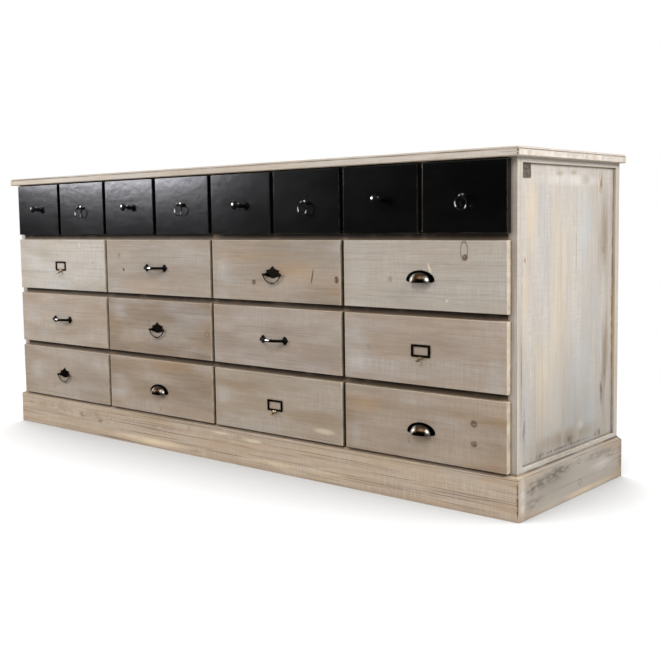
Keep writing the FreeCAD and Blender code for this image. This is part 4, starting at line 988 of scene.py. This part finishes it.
PLINTH_CORNER = (1000.0, -272.5)
PLINTH_FRONT = [
    ("seam", 995, 50, 2.6, 60, 1.0), ("crack", 996, 40, 1.4, 48, 0.5), ("shade", -820, 72, 190, 22, 0.5),
    ("shade", -560, 66, 120, 22, 0.5), ("shade", -240, 66, 150, 18, 0.3), ("shade", 120, 80, 140, 14, 0.35),
    ("smudge", -943, 71, 12, 10, 0.7), ("smudge", -767, 90, 16, 8, 0.7), ("smudge", -645, 63, 30, 12, 0.8),
    ("smudge", -557, 52, 26, 8, 0.7), ("smudge", -489, 63, 12, 12, 0.6), ("crack", -117, 83, 2, 10, 0.6),
    ("brown", -252, 20, 10, 8, 0.6), ("brown", -90, 14, 30, 6, 0.6), ("cream", 150, 78, 50, 7, 0.5),
    ("cream", 20, 84, 50, 6, 0.4), ("peach", -300, 18, 260, 16, 0.8), ("peach", 300, 22, 300, 16, 0.7)]
PLINTH_SIDE = [
    ("ash", 0, 50, 330, 90, 0.75), ("dusk", -120, 62, 170, 50, 0.45), ("smudge", -219, 67, 30, 24, 0.62),
    ("smudge", -102, 81, 75, 26, 0.62), ("smudge", -51, 85, 75, 15, 0.62),
    ("smudge", -170, 74, 75, 23, 0.56), ("smudge", -200, 32, 62, 23, 0.43),
    ("smudge", 202, 76, 32, 18, 0.56), ("smudge", 130, 86, 100, 14, 0.5), ("smudge", 264, 60, 15, 65, 0.5),
    ("chalk", -258, 50, 20, 80, 0.5), ("chalk", 150, 52, 90, 30, 0.35), ("peach", 30, 8, 300, 12, 0.8)]
PLINTH_SIDE_RINGS = [(24, 88, 9, 7), (30, 33, 9, 8)]

RAIL_MARKS = [("crack", 899, 468, 15, 0.9, 0.9, -39)]
RAIL_KNOTS = [(329, 277, 5, 4, 0.8)]
SHADED_UNDER = ("drawer_top_1", "drawer_row_1_1", "drawer_row_2_1", "drawer_row_3_1")
SIDE_RAIL_MARKS = [("shade", 0, 117, 280, 10, 0.6), ("straw", 0, 125, 300, 2.4, 1.0)]
POST_MARKS = [
    ("brown", 742, -232, 40, 8, 0.8), ("earth", 300, -240, 260, 14, 0.5),
    ("straw", 470, 254.5, 420, 2.6, 1.0), ("straw", 470, -232, 420, 2.0, 0.7),
    ("brown", 560, -236, 120, 3, 0.8), ("smudge", 330, -239, 150, 4, 0.5)]
PANEL_RINGS = [(609, 196, 7, 6), (290, 208, 6, 5)]
PANEL_MARKS = [
    ("peach", 725, -184, 143, 45, 0.5), ("slate", 676, -112, 169, 51, 0.38),
    ("peach", 560, -30, 338, 90, 0.4), ("sky", 670, 92, 143, 69, 0.38), ("chalk", 786, 20, 22, 230, 0.5),
    # The dusk mark here is painted shade: the side panel is made darker towards the bottom.
    ("dusk", 80, 0, 420, 460, 0.5), ("peach", 300, -60, 220, 90, 0.35), ("earth", 640, 205, 190, 46, 0.8),
    ("earth", 788, 95, 20, 34, 0.6), ("earth", 800, -42, 9, 24, 0.8), ("earth", 804, 28, 9, 22, 0.7),
    ("peach", 320, -132, 221, 51, 0.45), ("peach", 520, -205, 208, 24, 0.35),
    ("sky", 320, 72, 104, 75, 0.29), ("slate", 250, -30, 221, 135, 0.34),
    ("slate", 230, -208, 143, 36, 0.42), ("slate", 180, 100, 156, 165, 0.38),
    ("earth", 330, 212, 240, 30, 0.9), ("earth", 150, 0, 34, 230, 0.8), ("chalk", 169, 70, 18, 30, 0.3),
    ("slate", 450, 150, 195, 75, 0.25), ("slate", 480, -130, 169, 45, 0.21),
    ("brown", 784, 180, 40, 17, 1.0), ("brown", 599, -210, 10, 8, 1.0), ("smudge", 242, 192, 60, 12, 0.8),
    ("smudge", 133, 176, 15, 30, 0.8), ("smudge", 141, 13, 16, 40, 0.6), ("smudge", 129, -141, 16, 26, 0.6),
    ("smudge", 200, -214, 70, 10, 0.6), ("brown", 620, 46, 110, 3, 0.5), ("smudge", 129, 0, 5, 260, 0.7),
    ("smudge", 470, 250.5, 430, 2.4, 0.9), ("brown", 470, 247, 430, 5, 0.5),
    ("smudge", 500, -227, 340, 2.6, 0.6)]

# Bare pine pieces and the stock each was cut from.
BARE_PIECES = {"back_rails": 10, "back_panel": 10, "bottom_board": 12, "middle_bearer": 13, "partitions": 10,
               "drawer_runners": 14}


for number in range(1, SMALL_DRAWERS + 1):
    dress(f"drawer_top_{number}", black_paint(f"black_drawer_{number}", number))
for (row, column), look in FRONTS.items():
    look = dict(look)
    light, dark = look.pop("tone")
    finish = dict(FRONT, light=light, dark=dark, shut=OPEN_END if column == LAST_COLUMN else SHUT_END,
                  **look.pop("shift", {}))
    dress(f"drawer_row_{row}_{column}", limed_pine(f"drawer_front_{row}_{column}", "lengthways",
                                                   7 * row + column, finish, boxed=True, **look))
dress("top_board", limed_pine("top_pine", "flat", 41, TOP, lines=TOP_SHADE_LINES))
side_marks = [(kind, along + SIDE_START, *rest) for kind, along, *rest in PLINTH_SIDE]
side_rings = [(along + SIDE_START, *rest) for along, *rest in PLINTH_SIDE_RINGS]
dress("plinth_boards", limed_pine("plinth_pine", "lengthways", 42, PLINTH, mitre=PLINTH_CORNER,
                                  marks=PLINTH_FRONT + side_marks, rings_round=side_rings,
                                  lines=PLINTH_SHADE_LINES))
dress("front_rails", limed_pine("rail_pine", "lengthways", 43, FRAME, knots=RAIL_KNOTS, marks=RAIL_MARKS,
                                under=[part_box(node)[0].z / MM for node in SHADED_UNDER]))
dress("side_panels", limed_pine("panel_pine", "upright", 44, SIDE, marks=PANEL_MARKS,
                                rings_round=PANEL_RINGS))
dress("corner_posts", limed_pine("post_pine", "upright", 45, POST, marks=POST_MARKS))
dress("front_uprights", limed_pine("upright_pine", "upright face", 46, GAP_SHADED_FRAME))
dress("side_rails", limed_pine("side_rail_pine", "front to back", 47, LIGHTENED_SIDE_RAIL, marks=SIDE_RAIL_MARKS))
for node, stock in BARE_PIECES.items():
    dress(node, bare_pine(f"{node}_pine", stock))

CARD_FRAME_HEIGHT = 30.0
# Painted highlights on the pulls, bright spots where highlights fall: each place from the middle of the
# pull's box, and its half size.
PULL_HIGHLIGHTS = {"knob": [(-4.2, 4.2, 4.3, 4.2)], "bow_handle": [(-3.0, 1.5, 10.0, 3.4)],
          "ring_top": [(-15.5, -3.0, 3.6, 11.0), (13.0, -8.0, 3.2, 7.0)],
          "ring_eye": [(-3.0, 4.0, 4.5, 4.5)]}
# Their skins: colour where worn and where not, share worn, roughness, and metal or black enamel.
RING_SKIN = ("1a1918", "0b0b0a", 0.5, (0.30, 0.40), 0.0)
PULL_SKINS = {"knob": ("141312", "070707", 0.5, (0.40, 0.50), 0.0),
              "bow_handle": ("100e0c", "040404", 0.5, (0.36, 0.46), 0.0),
              "ring_top": RING_SKIN, "ring_eye": RING_SKIN}
plate_iron = old_metal("plate_iron", "4a4138", "1b1714", 0.6, (0.22, 0.34))
bail_iron = old_metal("bail_iron", "6b6053", "1f1a16", 0.5, (0.18, 0.28))
for node in frame["nodes"]:
    low, high = (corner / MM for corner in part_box(node))
    if node.startswith("cup_pull"):
        dress(node, cup_bronze(f"bronze_{node}", low, high))
    elif node.startswith("card_pull"):
        dress(node, card_metal(f"dark_bronze_{node[-3:]}", high.z - CARD_FRAME_HEIGHT))
    elif node.startswith("bail_plate"):
        dress(node, plate_iron)
    elif node.startswith("bail_row"):
        dress(node, bail_iron)
    for kind, places in PULL_HIGHLIGHTS.items():
        if node.startswith(kind):
            middle = (low + high) / 2
            spots = [(middle.x + across, middle.z + up, *half_size) for across, up, *half_size in places]
            dress(node, old_metal(f"painted_highlight_{node}", *PULL_SKINS[kind], highlight_spots=spots))

corner_plate()
rows_of_nails = nail_rows()
nail_steel = old_metal("nail_steel", "8b857c", "4a4540", 0.7, (0.35, 0.5))
nail_drawers(rows_of_nails, nail_steel)
nail_back(rows_of_nails, nail_steel)
pin_hole = old_metal("pin_hole", "2a211a", "0d0a08", 0.3, (0.6, 0.8), metallic=0.0)
drive_nails(rows_of_nails, "top_pins", "carcass", [((0.0, -1.0, 0.0), TOP_PINS)], pin_hole, **PIN_SIZES)
bpy.context.scene.view_settings.view_transform = "Standard"
white_world()
white_floor()
for name, settings in SOFT_LIGHTS.items():
    soft_light(name, *settings)
